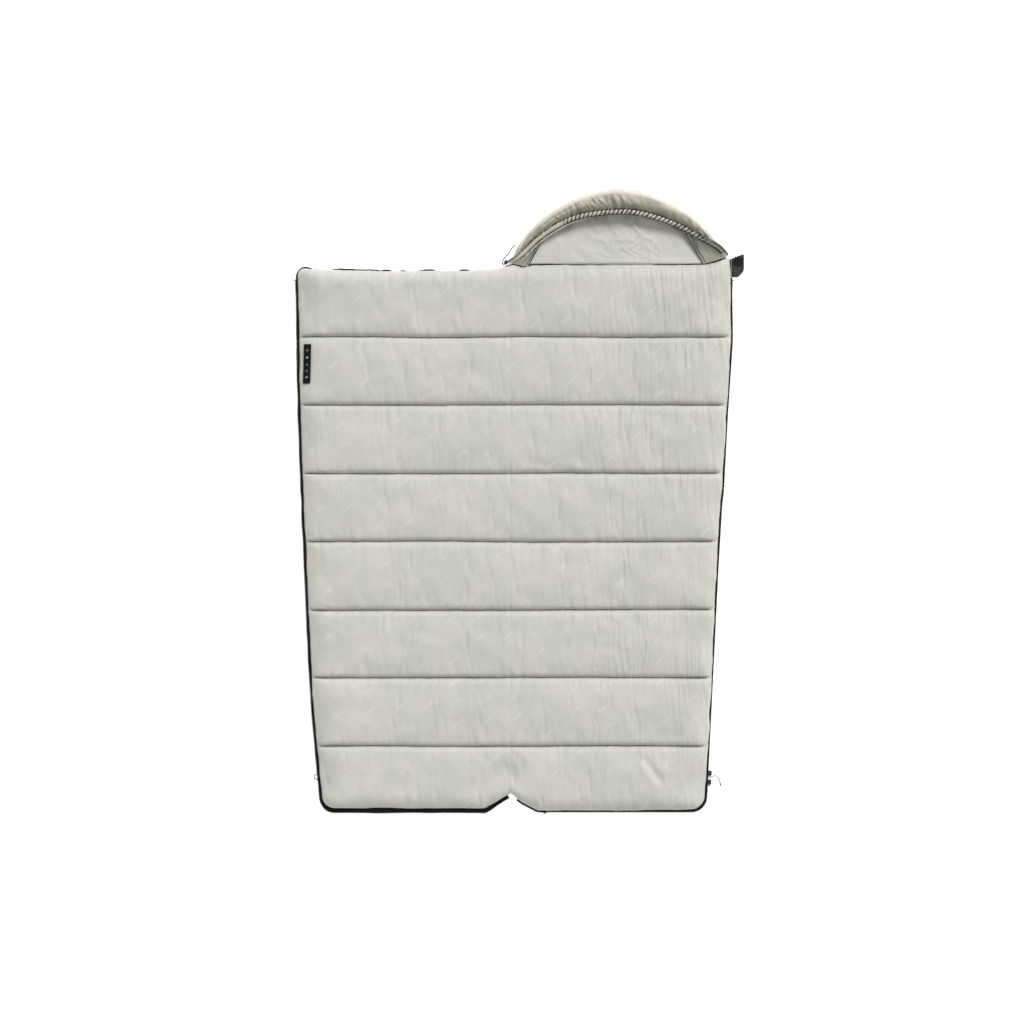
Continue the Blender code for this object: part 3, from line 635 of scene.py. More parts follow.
def cord_tail():
    """The drawcord's free end: through the lock, round, and to its knot."""
    path = smooth_route(TAIL_ROUTE, 0.003)
    made = curve("drawcord_tail_braid", path, TAIL_R, CORD, 3)
    placed(made, "cord_lock", "cord", "drawcord_tail")
    ahead = Vector(path[-1] - path[-2]).normalized()
    centre = Vector(path[-1]) + ahead * 0.0031
    turn = ahead.to_track_quat("Z", "Y")
    loop = []
    for t in np.linspace(0, 2 * math.pi, 48, endpoint=False):
        x, y = math.sin(t) + 2 * math.sin(2 * t), math.cos(t) - 2 * math.cos(2 * t)
        loop.append(centre + turn @ (Vector((x, y, -1.6 * math.sin(3 * t))) * 0.00055))
    knot = curve("tail_knot_tied", loop, 0.00105, CORD, 2, cyclic=True)
    placed(knot, "cord_lock", "cord", "tail_knot")


pull_cord()
cord_tail()

# ---------------------------------------------------------------- the quilt's outline

HEAD_Y = 0.945
FOOT_Y = -0.930
HALF_WIDTH_HEAD = 0.752
HALF_WIDTH_FOOT = 0.659
CHANNEL_PITCH = 0.23625
CHANNELS = 8
HEAD_CORNER_R = 0.025
FOOT_CORNER_R = 0.045
NOTCH_X = -0.010
NOTCH_DEPTH = 0.058
NOTCH_HALF_WIDTH = 0.092
LOFT_Z = 0.0455
SEAM_Z = 0.0115
EDGE_Z = 0.0079
ZIP_Z = 0.0068
CREASE_X = -0.014
SEAM_GAP = {1: 0.020, -1: 0.006}


def half_width(y):
    return HALF_WIDTH_FOOT + (HALF_WIDTH_HEAD - HALF_WIDTH_FOOT) * (y - FOOT_Y) / (HEAD_Y - FOOT_Y)


def corner_cut(y):
    """How far a rounded corner pulls the edge in."""
    cut = np.zeros_like(y)
    for radius, beyond in ((FOOT_CORNER_R, FOOT_Y - y), (HEAD_CORNER_R, y - HEAD_Y)):
        past = np.clip(beyond + radius, 0, radius)
        cut += radius - np.sqrt(radius**2 - past**2)
    return cut


def rounded_line(at, fine, stations, values, spread):
    """Straight runs through stations, with their corners rounded over 2 * spread + 1 fine steps."""
    line = np.pad(np.interp(fine, stations, values), spread, mode="edge")
    count = 2 * spread + 1
    return np.interp(at, fine, np.convolve(line, np.ones(count) / count, "valid"))


EDGE_STEPS = np.linspace(-0.95, 0.96, 400)


def left_bow(y):
    """The left edge lies in a slack curve outside the straight line."""
    stations = (-0.93, -0.86, -0.80, -0.70, -0.55, -0.2, 0.1, 0.45, 0.62, 0.80, 0.95)
    reach = (0.006, 0.006, 0.008, 0.015, 0.020, 0.021, 0.018, 0.014, 0.009, 0.001, 0.0)
    return rounded_line(y, EDGE_STEPS, stations, reach, 20)


def right_bow(y):
    """The right edge, outside its straight line."""
    stations = (-0.93, -0.10, 0.13, 0.17, 0.45, 0.70, 0.87, 0.95)
    reach = (0.0, 0.0, 0.002, 0.0055, 0.0065, 0.0110, 0.0, 0.0)
    return rounded_line(y, EDGE_STEPS, stations, reach, 4)


FLAP_ROOM = 0.0085


def edge_x(side, y):
    """The lining's open edge on one side, with its small waves; it is drawn in beside the flap."""
    y = np.asarray(y, float)
    if side < 0:
        wave = 0.0016 * waves(y, 0.065, 3) + 0.0009 * waves(y, 0.028, 4)
        return -(half_width(y) - corner_cut(y) + left_bow(y) + wave)
    bulge = 0.0038 + 0.0024 * waves(y, 0.060, 7) + 0.0014 * waves(y, 0.022, 8)
    bulge *= 1 - 0.9 * smooth((-0.80 - y) / 0.06)
    bulge += right_bow(y) - FLAP_ROOM * smooth((y - 0.885) / 0.06)
    foot_only = np.where(y < 0, corner_cut(y), 0.0)
    return half_width(y) - foot_only + bulge - 0.002 * smooth((y - 0.84) / 0.08)


def foot_line(x):
    """The lining's foot edge, with the notch between the halves."""
    x = np.asarray(x, float)
    into = np.clip(1 - (np.abs(x - NOTCH_X) / NOTCH_HALF_WIDTH) ** 0.80, 0, 1)
    wave = 0.0022 * waves(x, 0.085, 12) + 0.0008 * waves(x, 0.03, 13)
    left = 0.0045 * smooth((NOTCH_X - x) / 0.03)
    right = -0.0030 * smooth((x - NOTCH_X) / 0.03) * (1 - smooth((x - 0.56) / 0.05))
    return FOOT_Y + NOTCH_DEPTH * into + wave + left + right


HEAD_STATIONS = (
    (-0.80, 0.9490),
    (-0.72, 0.9480),
    (-0.53, 0.9400),
    (-0.42, 0.9387),
    (-0.15, 0.9400),
    (-0.083, 0.9440),
    (-0.031, 0.9560),
    (0.000, 0.9600),
    (0.033, 0.9500),
    (0.066, 0.9590),
    (0.120, 0.9600),
    (0.660, 0.9605),
    (0.700, 0.9690),
    (0.735, 0.9840),
    (0.760, 0.9840),
)


def head_line(x):
    """The lining's head edge: free on the left, and along the neck seam on the right."""
    x = np.asarray(x, float)
    stations, heights = zip(*HEAD_STATIONS)
    line = rounded_line(x, np.linspace(-0.85, 0.85, 1701), stations, heights, 6)
    wave = 0.0013 * waves(x, 0.042, 21) + 0.0009 * waves(x, 0.017, 22)
    lock_room = 0.0042 * bell(x + 0.036, 0.013)
    return line + wave - lock_room


def seam_line(number, x):
    """The line of a seam, 1 to 7 from the foot; 0 is the foot edge and 8 the head edge."""
    if number == 0:
        return foot_line(x)
    if number == CHANNELS:
        return head_line(x)
    y = (number - CHANNELS / 2) * CHANNEL_PITCH
    slow = 0.0022 * waves(x, 0.30, 30 + number)
    return y + slow + 0.0007 * waves(x, 0.040, 40 + number)


def lay_out(columns, shares):
    """The quilt's plan as arrays (rows, columns): x, y, channel number from 0, and share of the channel."""
    number = np.concatenate([np.full(len(shares) - 1, n) for n in range(CHANNELS)] + [[CHANNELS - 1]])
    share = np.concatenate([shares[:-1]] * CHANNELS + [[1.0]])
    lows = np.array([FOOT_Y] + [(n - CHANNELS / 2) * CHANNEL_PITCH for n in range(1, CHANNELS)] + [HEAD_Y])
    y = lows[number] + (lows[number + 1] - lows[number]) * share
    left, right = edge_x(-1, y), edge_x(1, y)
    x = left[:, None] + (right - left)[:, None] * columns[None, :]
    rows = {0: x[0], CHANNELS: x[-1]}
    seams = np.stack([seam_line(n, rows.get(n, x[len(x) // 2])) for n in range(CHANNELS + 1)])
    low, high = seams[number], seams[number + 1]
    placed = low + (high - low) * share[:, None]
    return x, placed, np.broadcast_to(number[:, None], x.shape), np.broadcast_to(share[:, None], x.shape)


def from_edges(x, y):
    """Distances in from the left and the right open edge."""
    return x - edge_x(-1, y), edge_x(1, y) - x


def soft_crown(share):
    return (1 - np.abs(2 * share - 1) ** 2.3) ** 0.60


def tight_crown(share):
    """Fuller beside the seams: the cloth drops into a narrow crease."""
    away = np.minimum(share, 1 - share) * CHANNEL_PITCH
    return 0.26 * (1 - (2 * share - 1) ** 2) + 0.74 * (1 - np.exp(-away / 0.0048))


def puffed(x, y, number, share, crown):
    """The lining's height before any cloth is simulated."""
    left, right = from_edges(x, y)
    inside = np.minimum(left, right)
    swell = (1 - (1 - np.clip(inside / 0.075, 0, 1)) ** 2.4) ** 0.60
    open_end = 0.55 * (1 - smooth((right - 0.006) / 0.024))
    open_end = np.maximum(open_end, 0.45 * (1 - smooth((left - 0.002) / 0.016)))
    body = crown(share)
    at_end = (number == 0) & (share < 0.5) | (number == CHANNELS - 1) & (share > 0.5)
    free_end = (1 - np.clip(1 - np.minimum(share, 1 - share) * CHANNEL_PITCH / 0.055, 0, 1) ** 2.3) ** 0.62
    body = np.where(at_end, free_end, np.maximum(body, open_end))
    low = np.where(number == 0, EDGE_Z, SEAM_Z)
    high = np.where(number == CHANNELS - 1, EDGE_Z, SEAM_Z)
    base = EDGE_Z + (low + (high - low) * share - EDGE_Z) * swell
    return base + (LOFT_Z - 0.002 - base) * body * swell


# ---------------------------------------------------------------- the lining

SIM_SHARES = (1 - np.cos(np.pi * np.linspace(0, 1, 15))) / 2 * 0.6 + np.linspace(0, 1, 15) * 0.4
SIM_COLUMNS = 216
SIM_FRAMES = 20
SIM_CAP = 0.014


CLOTH_SETTINGS = {
    "quality": 5,
    "mass": 0.15,
    "tension_stiffness": 12,
    "compression_stiffness": 12,
    "shear_stiffness": 4,
    "bending_stiffness": 0.02,
    "tension_damping": 6,
    "compression_damping": 6,
    "air_damping": 2,
    "vertex_group_mass": "sewn",
    "pin_stiffness": 1.0,
    "vertex_group_shrink": "spare",
    "shrink_min": -0.008,
    "shrink_max": -0.040,
    "use_pressure": True,
    "uniform_pressure_force": 4.0,
}


def sim_columns():
    """Even columns, drawn a little closer together at both open edges."""
    t = np.linspace(0, 1, SIM_COLUMNS)
    return t - 0.012 * np.sin(2 * np.pi * t)


def pinned(x, y, share):
    """Where the lining is sewn down: its outline, and the seams up to where they stop."""
    left, right = from_edges(x, y)
    sewn = (share < 1e-6) | (share > 1 - 1e-6)
    outline = np.zeros(x.shape, bool)
    outline[0] = outline[-1] = True
    outline[:, 0] = outline[:, -1] = True
    return outline | sewn & (left > SEAM_GAP[-1]) & (right > SEAM_GAP[1])


def simulate(points, pins, slack):
    """Blender's cloth under a light pressure, held along its seams; slack is the share of spare width."""
    made = surface("lining_cloth", points, LINING)
    group = made.vertex_groups.new(name="sewn")
    group.add([int(i) for i in np.flatnonzero(pins.reshape(-1))], 1.0, "REPLACE")
    spare = made.vertex_groups.new(name="spare")
    for level in range(1, 11):
        chosen = np.flatnonzero(np.round(slack.reshape(-1) * 10) == level)
        if len(chosen):
            spare.add([int(i) for i in chosen], level / 10, "REPLACE")
    cloth = made.modifiers.new("cloth", "CLOTH")
    for setting, value in CLOTH_SETTINGS.items():
        setattr(cloth.settings, setting, value)
    cloth.settings.effector_weights.gravity = 0.0
    cloth.collision_settings.use_collision = False
    cloth.collision_settings.use_self_collision = False
    scene = bpy.context.scene
    scene.frame_start, scene.frame_end = 1, SIM_FRAMES
    cloth.point_cache.frame_start, cloth.point_cache.frame_end = 1, SIM_FRAMES
    for number in range(1, SIM_FRAMES + 1):
        scene.frame_set(number)
    ready = made.evaluated_get(bpy.context.evaluated_depsgraph_get())
    mesh = ready.to_mesh()
    found = np.zeros(len(mesh.vertices) * 3, np.float32)
    mesh.vertices.foreach_get("co", found)
    ready.to_mesh_clear()
    bpy.data.objects.remove(made, do_unlink=True)
    scene.frame_set(1)
    return found.astype(float).reshape(points.shape)


def finer(values, factor):
    """A grid of values with factor times as many steps, on a smooth curve through them."""
    for axis in (0, 1):
        values = np.moveaxis(values, axis, 0)
        padded = np.concatenate([2 * values[:1] - values[1:2], values, 2 * values[-1:] - values[-2:-1]])
        four = (padded[:-3], padded[1:-2], padded[2:-1], padded[3:])
        parts = [between(*four, n / factor) for n in range(factor)]
        woven = np.stack(parts, axis=1).reshape(-1, *values.shape[1:])
        values = np.moveaxis(np.concatenate([woven, values[-1:]]), 0, axis)
    return values


def spare_width(x):
    """More loose cloth in the right third, and a little at the left edge and the crease."""
    right = smooth((x - 0.28) / 0.25)
    left = 0.35 * (1 - smooth((x + 0.72) / 0.10))
    crease = 0.5 * bell(x - CREASE_X, 0.035)
    return np.clip(0.15 + 0.85 * right + left + crease, 0, 1)


def fine_folds(x, y, share):
    """Wrinkles too fine for the simulated grid."""
    away = np.minimum(share, 1 - share) * CHANNEL_PITCH
    held = smooth(away / 0.009)
    right = smooth((x - 0.22) / 0.26)
    left = 1 - smooth((x + 0.72) / 0.12)
    patch = smooth(0.5 + 0.9 * lumps(x, y, 0.13, 0.16, 52))
    long = creases(x + 0.06 * y, y, 0.016, 0.17, 51)
    long = long * (0.12 + 0.88 * np.maximum(right, 0.6 * left)) * (0.25 + 0.75 * patch)
    hair = creases(x - 0.04 * y, y, 0.0105, 0.11, 53) * (0.18 + 0.82 * right) * patch
    puckers = creases(x, y, 0.014, 0.05, 54) * np.exp(-away / 0.018)
    soft = lumps(x, y, 0.070, 0.055, 55) + 0.5 * lumps(x, y, 0.034, 0.030, 57)
    sharp = bell(lumps(x + 0.05 * y, y, 0.0135, 0.15, 62), 0.13) * smooth(lumps(x, y, 0.11, 0.14, 63) + 0.5)
    slant = creases(x + 0.9 * y, y, 0.060, 0.05, 58) * smooth(lumps(x, y, 0.2, 0.2, 59))
    height = 0.00210 * long + 0.00095 * hair + 0.00110 * puckers * (0.45 + 0.55 * np.maximum(right, left))
    height += 0.0019 * soft + 0.0012 * slant - 0.0016 * sharp * (0.10 + 0.90 * np.maximum(right, 0.45 * left))
    wander = 0.004 * lumps(y, x, 0.05, 0.9, 56)
    gather = bell(x - CREASE_X - wander, 0.0050)
    height -= gather * (0.0010 + 0.0075 * np.exp(-away / 0.016))
    return height * held


def fold_at_foot(x, y):
    """One soft fold across the foot channel, near the right corner."""
    along = ((x - 0.442) * 0.577 - (y + 0.745) * 0.816) / 0.135
    across = (x - 0.442) * 0.816 + (y + 0.745) * 0.577
    inside = smooth(along / 0.15) * smooth((1 - along) / 0.25)
    valley = bell(across - 0.004, 0.011)
    ridge = bell(across + 0.018, 0.013)
    return inside * (0.0042 * ridge - 0.0062 * valley)


FINE_STEPS = 32
FINE_PULL = 0.80
LEFT_STEP = 0.0047
RIGHT_STEP = 0.0031
RIGHT_THIRD = 0.66


FLAT_WIDTH = 1.47


def fine_columns():
    """Columns as shares of the width, closer together in the wrinkled right third."""
    left = np.linspace(0, RIGHT_THIRD, round(FLAT_WIDTH * RIGHT_THIRD / LEFT_STEP))
    right = np.linspace(RIGHT_THIRD, 1, round(FLAT_WIDTH * (1 - RIGHT_THIRD) / RIGHT_STEP))
    return np.concatenate([left, right[1:]])


def drawn_shares(steps, pull):
    """Shares of a channel's width, drawn closer together at its seams."""
    t = np.linspace(0, 1, steps + 1)
    return t - pull * np.sin(2 * np.pi * t) / (2 * np.pi)


def fine_shares():
    return drawn_shares(FINE_STEPS, FINE_PULL)


def lining_points():
    """The finished lining as a fine grid, and the plan that it was laid out on."""
    columns, shares = fine_columns(), fine_shares()
    x, y, number, share = lay_out(columns, shares)
    plan = xyz(x, y, puffed(x, y, number, share, tight_crown))
    shape = plan.copy()
    shape[..., 2] += fine_folds(x, y, share) + fold_at_foot(x, y)
    shape += simulated_shift(columns, shares) * smooth(np.minimum(share, 1 - share) / 0.03)[..., None]
    return shape, plan


def simulated_shift(columns, shares):
    """How the simulated cloth moved, on the fine grid; the even part of the motion is left out."""
    x, y, number, share = lay_out(sim_columns(), SIM_SHARES)
    rest = xyz(x, y, puffed(x, y, number, share, soft_crown))
    start = rest.copy()
    start[..., 2] = SEAM_Z + (rest[..., 2] - SEAM_Z) * 0.97
    start[..., 2] += 0.0008 * creases(x, y, 0.020, 0.16, 61) * smooth(np.minimum(share, 1 - share) / 0.1)
    shift = simulate(start, pinned(x, y, share), spare_width(x)) - rest
    shift -= np.median(shift, axis=1, keepdims=True)
    size = np.linalg.norm(shift, axis=-1, keepdims=True)
    shift *= np.minimum(1, SIM_CAP / np.maximum(size, 1e-9))
    left, right = from_edges(x, y)
    shift *= smooth(np.minimum(left, right) / 0.030)[..., None]
    shift = finer(shift, 2)
    across = finer(np.stack([sim_columns()] * 2, axis=1), 2)[:, 0]
    along = finer(np.stack([SIM_SHARES] * 2, axis=1), 2)[:, 0]
    wide = resampled(shift, across, columns)
    return resampled(wide.transpose(1, 0, 2), channel_rows(along), channel_rows(shares)).transpose(1, 0, 2)


def channel_rows(shares):
    """Rows of the whole quilt, counted in channels from the foot."""
    return np.concatenate([n + shares[:-1] for n in range(CHANNELS)] + [[CHANNELS]])


def resampled(grid, places, wanted):
    """Each row of a grid of vectors, read at other places along it."""
    return np.array([xyz(*(np.interp(wanted, places, row[:, k]) for k in range(3))) for row in grid])


def across_fold(made):
    """For a piece across the fold between the two halves: bakes its place into its mesh."""
    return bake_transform(made)


lining_shape, lining_plan = lining_points()


def lining():
    made = surface("lining_quilted", lining_shape, LINING, lining_plan[..., :2])
    thicken(made, 0.0007)
    placed(made, across_fold, "lining", "lining_right", "lining_left")
    return made


def height_at(x, y, pick=np.minimum):
    """The finished lining's height at places in plan: the lowest near each, or the highest."""
    x, y = np.atleast_1d(np.asarray(x, float)), np.atleast_1d(np.asarray(y, float))
    found = np.full(x.shape, 1.0 if pick is np.minimum else 0.0)
    heights = lining_shape[..., 2]
    for number in range(CHANNELS):
        low, high = seam_line(number, x), seam_line(number + 1, x)
        here = ((y >= low) | (number == 0)) & ((y <= high) | (number == CHANNELS - 1))
        share = np.clip((y - low) / (high - low), 0, 1)
        row = number * FINE_STEPS + np.interp(share, fine_shares(), np.arange(FINE_STEPS + 1))
        left, right = edge_x(-1, y), edge_x(1, y)
        columns = fine_columns()
        column = np.interp((x - left) / (right - left), columns, np.arange(len(columns)))
        for r in (-1, 0, 1):
            for c in (-1, 0, 1):
                r0 = np.clip(np.round(row + r).astype(int), 0, heights.shape[0] - 1)
                c0 = np.clip(np.round(column + c).astype(int), 0, heights.shape[1] - 1)
                found = np.where(here, pick(found, heights[r0, c0]), found)
    return found


STITCH_STEP = 0.0042
STITCH_LENGTH = 0.0031
STITCH_R = 0.00042


def add_strand(bm, stations, aside, up):
    """A four-sided strand through stations of place and width, closed at both ends."""
    rings = []
    for at, wide in stations:
        corners = (aside, up, -aside, -up)
        rings.append([bm.verts.new(at + corner * wide) for corner in corners])
    for one, two in zip(rings, rings[1:]):
        for k in range(4):
            bm.faces.new((one[k], one[(k + 1) % 4], two[(k + 1) % 4], two[k]))
    bm.faces.new(rings[0][::-1])
    bm.faces.new(rings[-1])


def stitch_rows(name, rows, material, slot, body):
    """Runs of small thread stitches along paths, as one piece."""
    bm = bmesh.new()
    for path in rows:
        path = even(path, STITCH_STEP)
        for here, after in zip(path[:-1], path[1:]):
            ahead = Vector(after - here).normalized()
            aside = ahead.cross(Vector((0, 0, 1))).normalized() * STITCH_R
            up = Vector((0, 0, STITCH_R))
            start = Vector(here)
            middle = start + ahead * STITCH_LENGTH / 2 + up * 1.4
            end = start + ahead * STITCH_LENGTH
            add_strand(bm, [(start, 0.35), (middle, 1.0), (end, 0.35)], aside, up)
    made = from_bmesh(name, bm, material)
    made.data.shade_smooth()
    return placed(made, body, slot)


SHELL_COLUMNS = 170
SHELL_STEPS = 18
SHELL_PULL = 0.75


def shell():
    """The outer shell on the ground, with shallow valleys at its seams and a rim turned up to the zip."""
    x, y, _, share = lay_out(np.linspace(0, 1, SHELL_COLUMNS), drawn_shares(SHELL_STEPS, SHELL_PULL))
    left, right = from_edges(x, y)
    ends = np.minimum(y - foot_line(x), head_line(x) - y)
    inside = np.minimum(np.minimum(left, right), ends)
    rim = 0.0052 * (1 - np.clip(inside / 0.045, 0, 1)) ** 1.4
    sewn = 0.0068 * np.exp(-np.minimum(share, 1 - share) * CHANNEL_PITCH / 0.011) * smooth(inside / 0.04)
    rumple = 0.0005 * (1 + creases(x, y, 0.021, 0.12, 71)) * smooth(inside / 0.03)
    z = 0.0009 + rim + sewn + 0.5 * rumple
    points = xyz(x, y, z)
    rows = [points[n * SHELL_STEPS, 4:-4] - np.array([0, 0, 0.0010]) for n in range(1, CHANNELS)]
    stitch_rows("shell_stitching", rows, THREAD, "black_tape", across_fold)
    made = surface("shell_quilted", points, SHELL)
    thicken(made, 0.0008)
    placed(made, across_fold, "shell", "shell_right", "shell_left")


BATTING_ROWS, BATTING_COLUMNS = 15, 42
BATTING_GAP = 0.010
BATTING_FOLD_GAP = 0.012
BATTING_EDGE_GAP = 0.024


def battings():
    """Eight pads of wadding in each half, between the seams."""
    for side, word in ((1, "right"), (-1, "left")):
        for number in range(CHANNELS):
            low = FOOT_Y if number == 0 else (number - CHANNELS / 2) * CHANNEL_PITCH
            high = HEAD_Y if number == CHANNELS - 1 else (number + 1 - CHANNELS / 2) * CHANNEL_PITCH
            low += BATTING_GAP * (2 if number == 0 else 1)
            high -= BATTING_GAP * (2 if number == CHANNELS - 1 else 1)
            rows = np.linspace(low, high, BATTING_ROWS)
            outer = half_width(rows) - corner_cut(rows) - BATTING_EDGE_GAP
            t = np.linspace(0, 1, BATTING_COLUMNS)[::side]
            x = side * (BATTING_FOLD_GAP + (outer - BATTING_FOLD_GAP)[:, None] * t[None, :])
            y = np.broadcast_to(rows[:, None], x.shape)
            y = np.clip(y, foot_line(x) + 0.022, head_line(x) - 0.018)
            top = height_at(x, y) - 0.0030 + 0.0006 * lumps(x, y, 0.03, 0.03, 81 + number)
            top = np.maximum(top, 0.0050)
            under = np.full(x.shape, 0.0033) + 0.0003 * lumps(x, y, 0.03, 0.03, 91)
            made = block(f"batting_pad_{word}_{number + 1}", xyz(x, y, under), xyz(x, y, top), BATTING)
            placed(made, f"{word}_half", "batting", f"batting_{word}_{number + 1}")


def seam_stitching():
    """The quilting thread in the seven seams."""
    rows = []
    for number in range(1, CHANNELS):
        line = lining_shape[number * FINE_STEPS]
        plan = lining_plan[number * FINE_STEPS]
        left, right = from_edges(plan[:, 0], plan[:, 1])
        kept = line[(left > SEAM_GAP[-1]) & (right > SEAM_GAP[1])].copy()
        kept[:, 2] += 0.0007
        rows.append(kept)
    stitch_rows("seam_stitching", rows, THREAD, "black_tape", across_fold)


lining()
shell()
battings()
seam_stitching()

# ---------------------------------------------------------------- the zip

ZIP_TOP_Y = 0.905
ZIP_NOTCH_X = 0.112
TAPE_INSIDE = 0.010
COIL_OFFSET = 0.0094
COIL_R = 0.0013
COIL_WIRE = 0.00042
COIL_PITCH = 0.0028


def zip_line(side):
    """The sewing line of the zip from the head to the notch; it stays straight where the sliders run."""
    corner_y = FOOT_Y + FOOT_CORNER_R
    y = np.linspace(ZIP_TOP_Y, corner_y, 240)
    if side > 0:
        x = half_width(y) + right_bow(y)
    else:
        x = half_width(y) + left_bow(y) + 0.0012 * waves(y, 0.05, 3)
    straight = xyz(x, y)
    turn = np.linspace(0, np.pi / 2, 24)[1:]
    centre = x[-1] - FOOT_CORNER_R
    arc = xyz(centre + FOOT_CORNER_R * np.cos(turn), corner_y - FOOT_CORNER_R * np.sin(turn))
    along = np.linspace(centre, ZIP_NOTCH_X, 90)[1:]
    wave = 0.0015 * waves(along, 0.07, 14) if side < 0 else 0 * along
    foot = xyz(along, FOOT_Y + wave * np.clip((centre - along) / 0.05, 0, 1))
    flat = np.concatenate([straight, arc, foot])
    return xyz(side * flat[:, 0], flat[:, 1], ZIP_Z)


def notch_side(side):
    """On from the zip's end, up the side of the notch."""
    x = side * np.linspace(ZIP_NOTCH_X - 0.003, 0.012 if side > 0 else 0.020, 26)
    y = foot_line(x) + (-0.0045 if side < 0 else 0.0)
    return xyz(x, y, ZIP_Z)


def outward(path, side, offset):
    ahead = unit(np.gradient(path, axis=0))
    aside = xyz(-ahead[:, 1], ahead[:, 0], 0.0) * side
    return path + aside * offset


def ribbon(name, inner, outer, material, thickness):
    """Flat tape between two edges."""
    shares = np.linspace(0, 1, 6)
    points = np.stack([inner + (outer - inner) * s for s in shares], axis=1)
    gone = gone_along(inner)
    width = np.linalg.norm(outer - inner, axis=1).mean()
    cloth = xyz(*np.meshgrid(shares * width, gone))
    return thicken(surface(name, points, material, cloth), thickness, 0.0)


ABOVE_ZIP = {1: (0.002, 0.012, 0.0), -1: (-0.001, 0.006, 0.0)}


def zips():
    for side, word in ((1, "right"), (-1, "left")):
        line = even(zip_line(side), 0.008)
        notch = notch_side(side)
        above = line[:1] + np.array(ABOVE_ZIP[side])
        full = even(np.concatenate([above, line, notch]), 0.008)
        wide = 0.0088 if side > 0 else 0.0086
        reach = np.full((len(full), 1), wide)
        if side < 0:
            at_foot = smooth((-full[:, 1] - 0.905) / 0.02)[:, None]
            reach += 0.0035 * at_foot + 0.0010 * lumps(full[:, 0], full[:, 1], 0.05, 0.05, 15)[:, None]
        else:
            past = np.clip((ZIP_NOTCH_X + 0.01 - full[:, 0]) / 0.03, 0, 1)[:, None]
            reach -= 0.0025 * past * (full[:, 1:2] < -0.85)
        gone = gone_along(full)[:, None]
        reach *= 0.80 + 0.20 * smooth(gone / 0.03)
        inner, outer = outward(full, side, -TAPE_INSIDE), outward(full, side, reach)
        tape = ribbon(f"zip_tape_woven_{word}", inner, outer, BLACK_TAPE, 0.0008)
        placed(tape, f"{word}_half", "black_tape", f"zip_tape_{word}")
        coil_line = even(outward(line, side, COIL_OFFSET), COIL_PITCH / 6)
        turns = np.arange(len(coil_line)) * 2 * np.pi / 6
        wound = outward(coil_line, 1, (COIL_R * np.cos(turns))[:, None])
        wound[:, 2] += COIL_R * np.sin(turns)
        coil = curve(f"zip_coil_wound_{word}", wound, COIL_WIRE, COIL_PLASTIC, 0)
        placed(coil, f"{word}_half", "black_plastic", f"zip_coil_{word}")


zips()

# ---------------------------------------------------------------- bindings, label, flap, loop


HEAD_BINDING_WIDE = 0.0031
HEAD_BINDING_HIGH = 0.0022
NECK_BINDING_R = 0.0021


def bindings():
    """The bound edge of the left half from the zip round the head corner, and the tape in the neck seam."""
    y = np.linspace(ZIP_TOP_Y - 0.004, HEAD_Y - HEAD_CORNER_R, 12)
    side = xyz(edge_x(-1, y) - 0.0026, y)
    x = np.linspace(-half_width(HEAD_Y) + HEAD_CORNER_R, -0.032, 260)
    hidden = smooth(0.5 + 1.3 * waves(x, 0.030, 24)) * smooth((x + 0.72) / 0.03)
    hidden = hidden * (1 - 0.8 * smooth((x + 0.56) / 0.01) * (1 - smooth((x + 0.47) / 0.01)))
    head = xyz(x, head_line(x) + 0.0024 - 0.0060 * hidden)
    turn = np.linspace(0, np.pi / 2, 14)[1:-1]
    over, up = 1 - np.cos(turn) ** 1.1, np.sin(turn) ** 1.1
    (side_x, side_y), (head_x, head_y) = side[-1], head[0]
    corner = xyz(side_x + (head_x - side_x) * over, side_y + (head_y - side_y) * up)
    flat = even(np.concatenate([side, corner, head]), 0.0035)
    z = 0.0062 + 0.0010 * lumps(flat[:, 0], flat[:, 1], 0.04, 0.04, 26)
    path = np.concatenate([flat, z[:, None]], axis=1)
    rings = rings_along(path, HEAD_BINDING_WIDE, 10)
    level = path[:, None, 2]
    rings[..., 2] = level + (rings[..., 2] - level) * HEAD_BINDING_HIGH / HEAD_BINDING_WIDE
    cloth = xyz(*np.meshgrid(np.arange(10) * 0.0016, np.arange(len(path)) * 0.0035))
    made = surface("head_binding_bound", rings, DARK_BINDING, cloth, wrap=True, flip=True)
    close_ends(made)
    placed(made, "left_half", "black_tape", "head_binding")
    x = np.linspace(-0.030, 0.734, 240)
    bunched = bell(x - 0.105, 0.016) * (1 + waves(x, 0.006, 27))
    lift = 0.0008 * waves(x, 0.03, 25)
    path = xyz(x, head_line(x) + 0.0014 + 0.5 * lift, 0.0105 + lift + 0.001 * bunched)
    radius = NECK_BINDING_R * (1 + 0.12 * waves(x, 0.02, 28) + 0.5 * bunched)
    made = tube("neck_binding_bound", path, radius[:, None], 10, DARK_BINDING)
    placed(made, "right_half", "black_tape", "neck_binding")


LABEL_MARKS = ((0.84, (0.34, 0.10, 0.05)), (0.66, (0.34, 0.32, 0.28)), (0.48, (0.05, 0.17, 0.21)))
LABEL_MARKS += ((0.32, (0.12, 0.14, 0.17)), (0.16, (0.30, 0.29, 0.24)))


LABEL_Y = 0.547
LABEL_LENGTH = 0.136
LABEL_WIDTH = 0.026


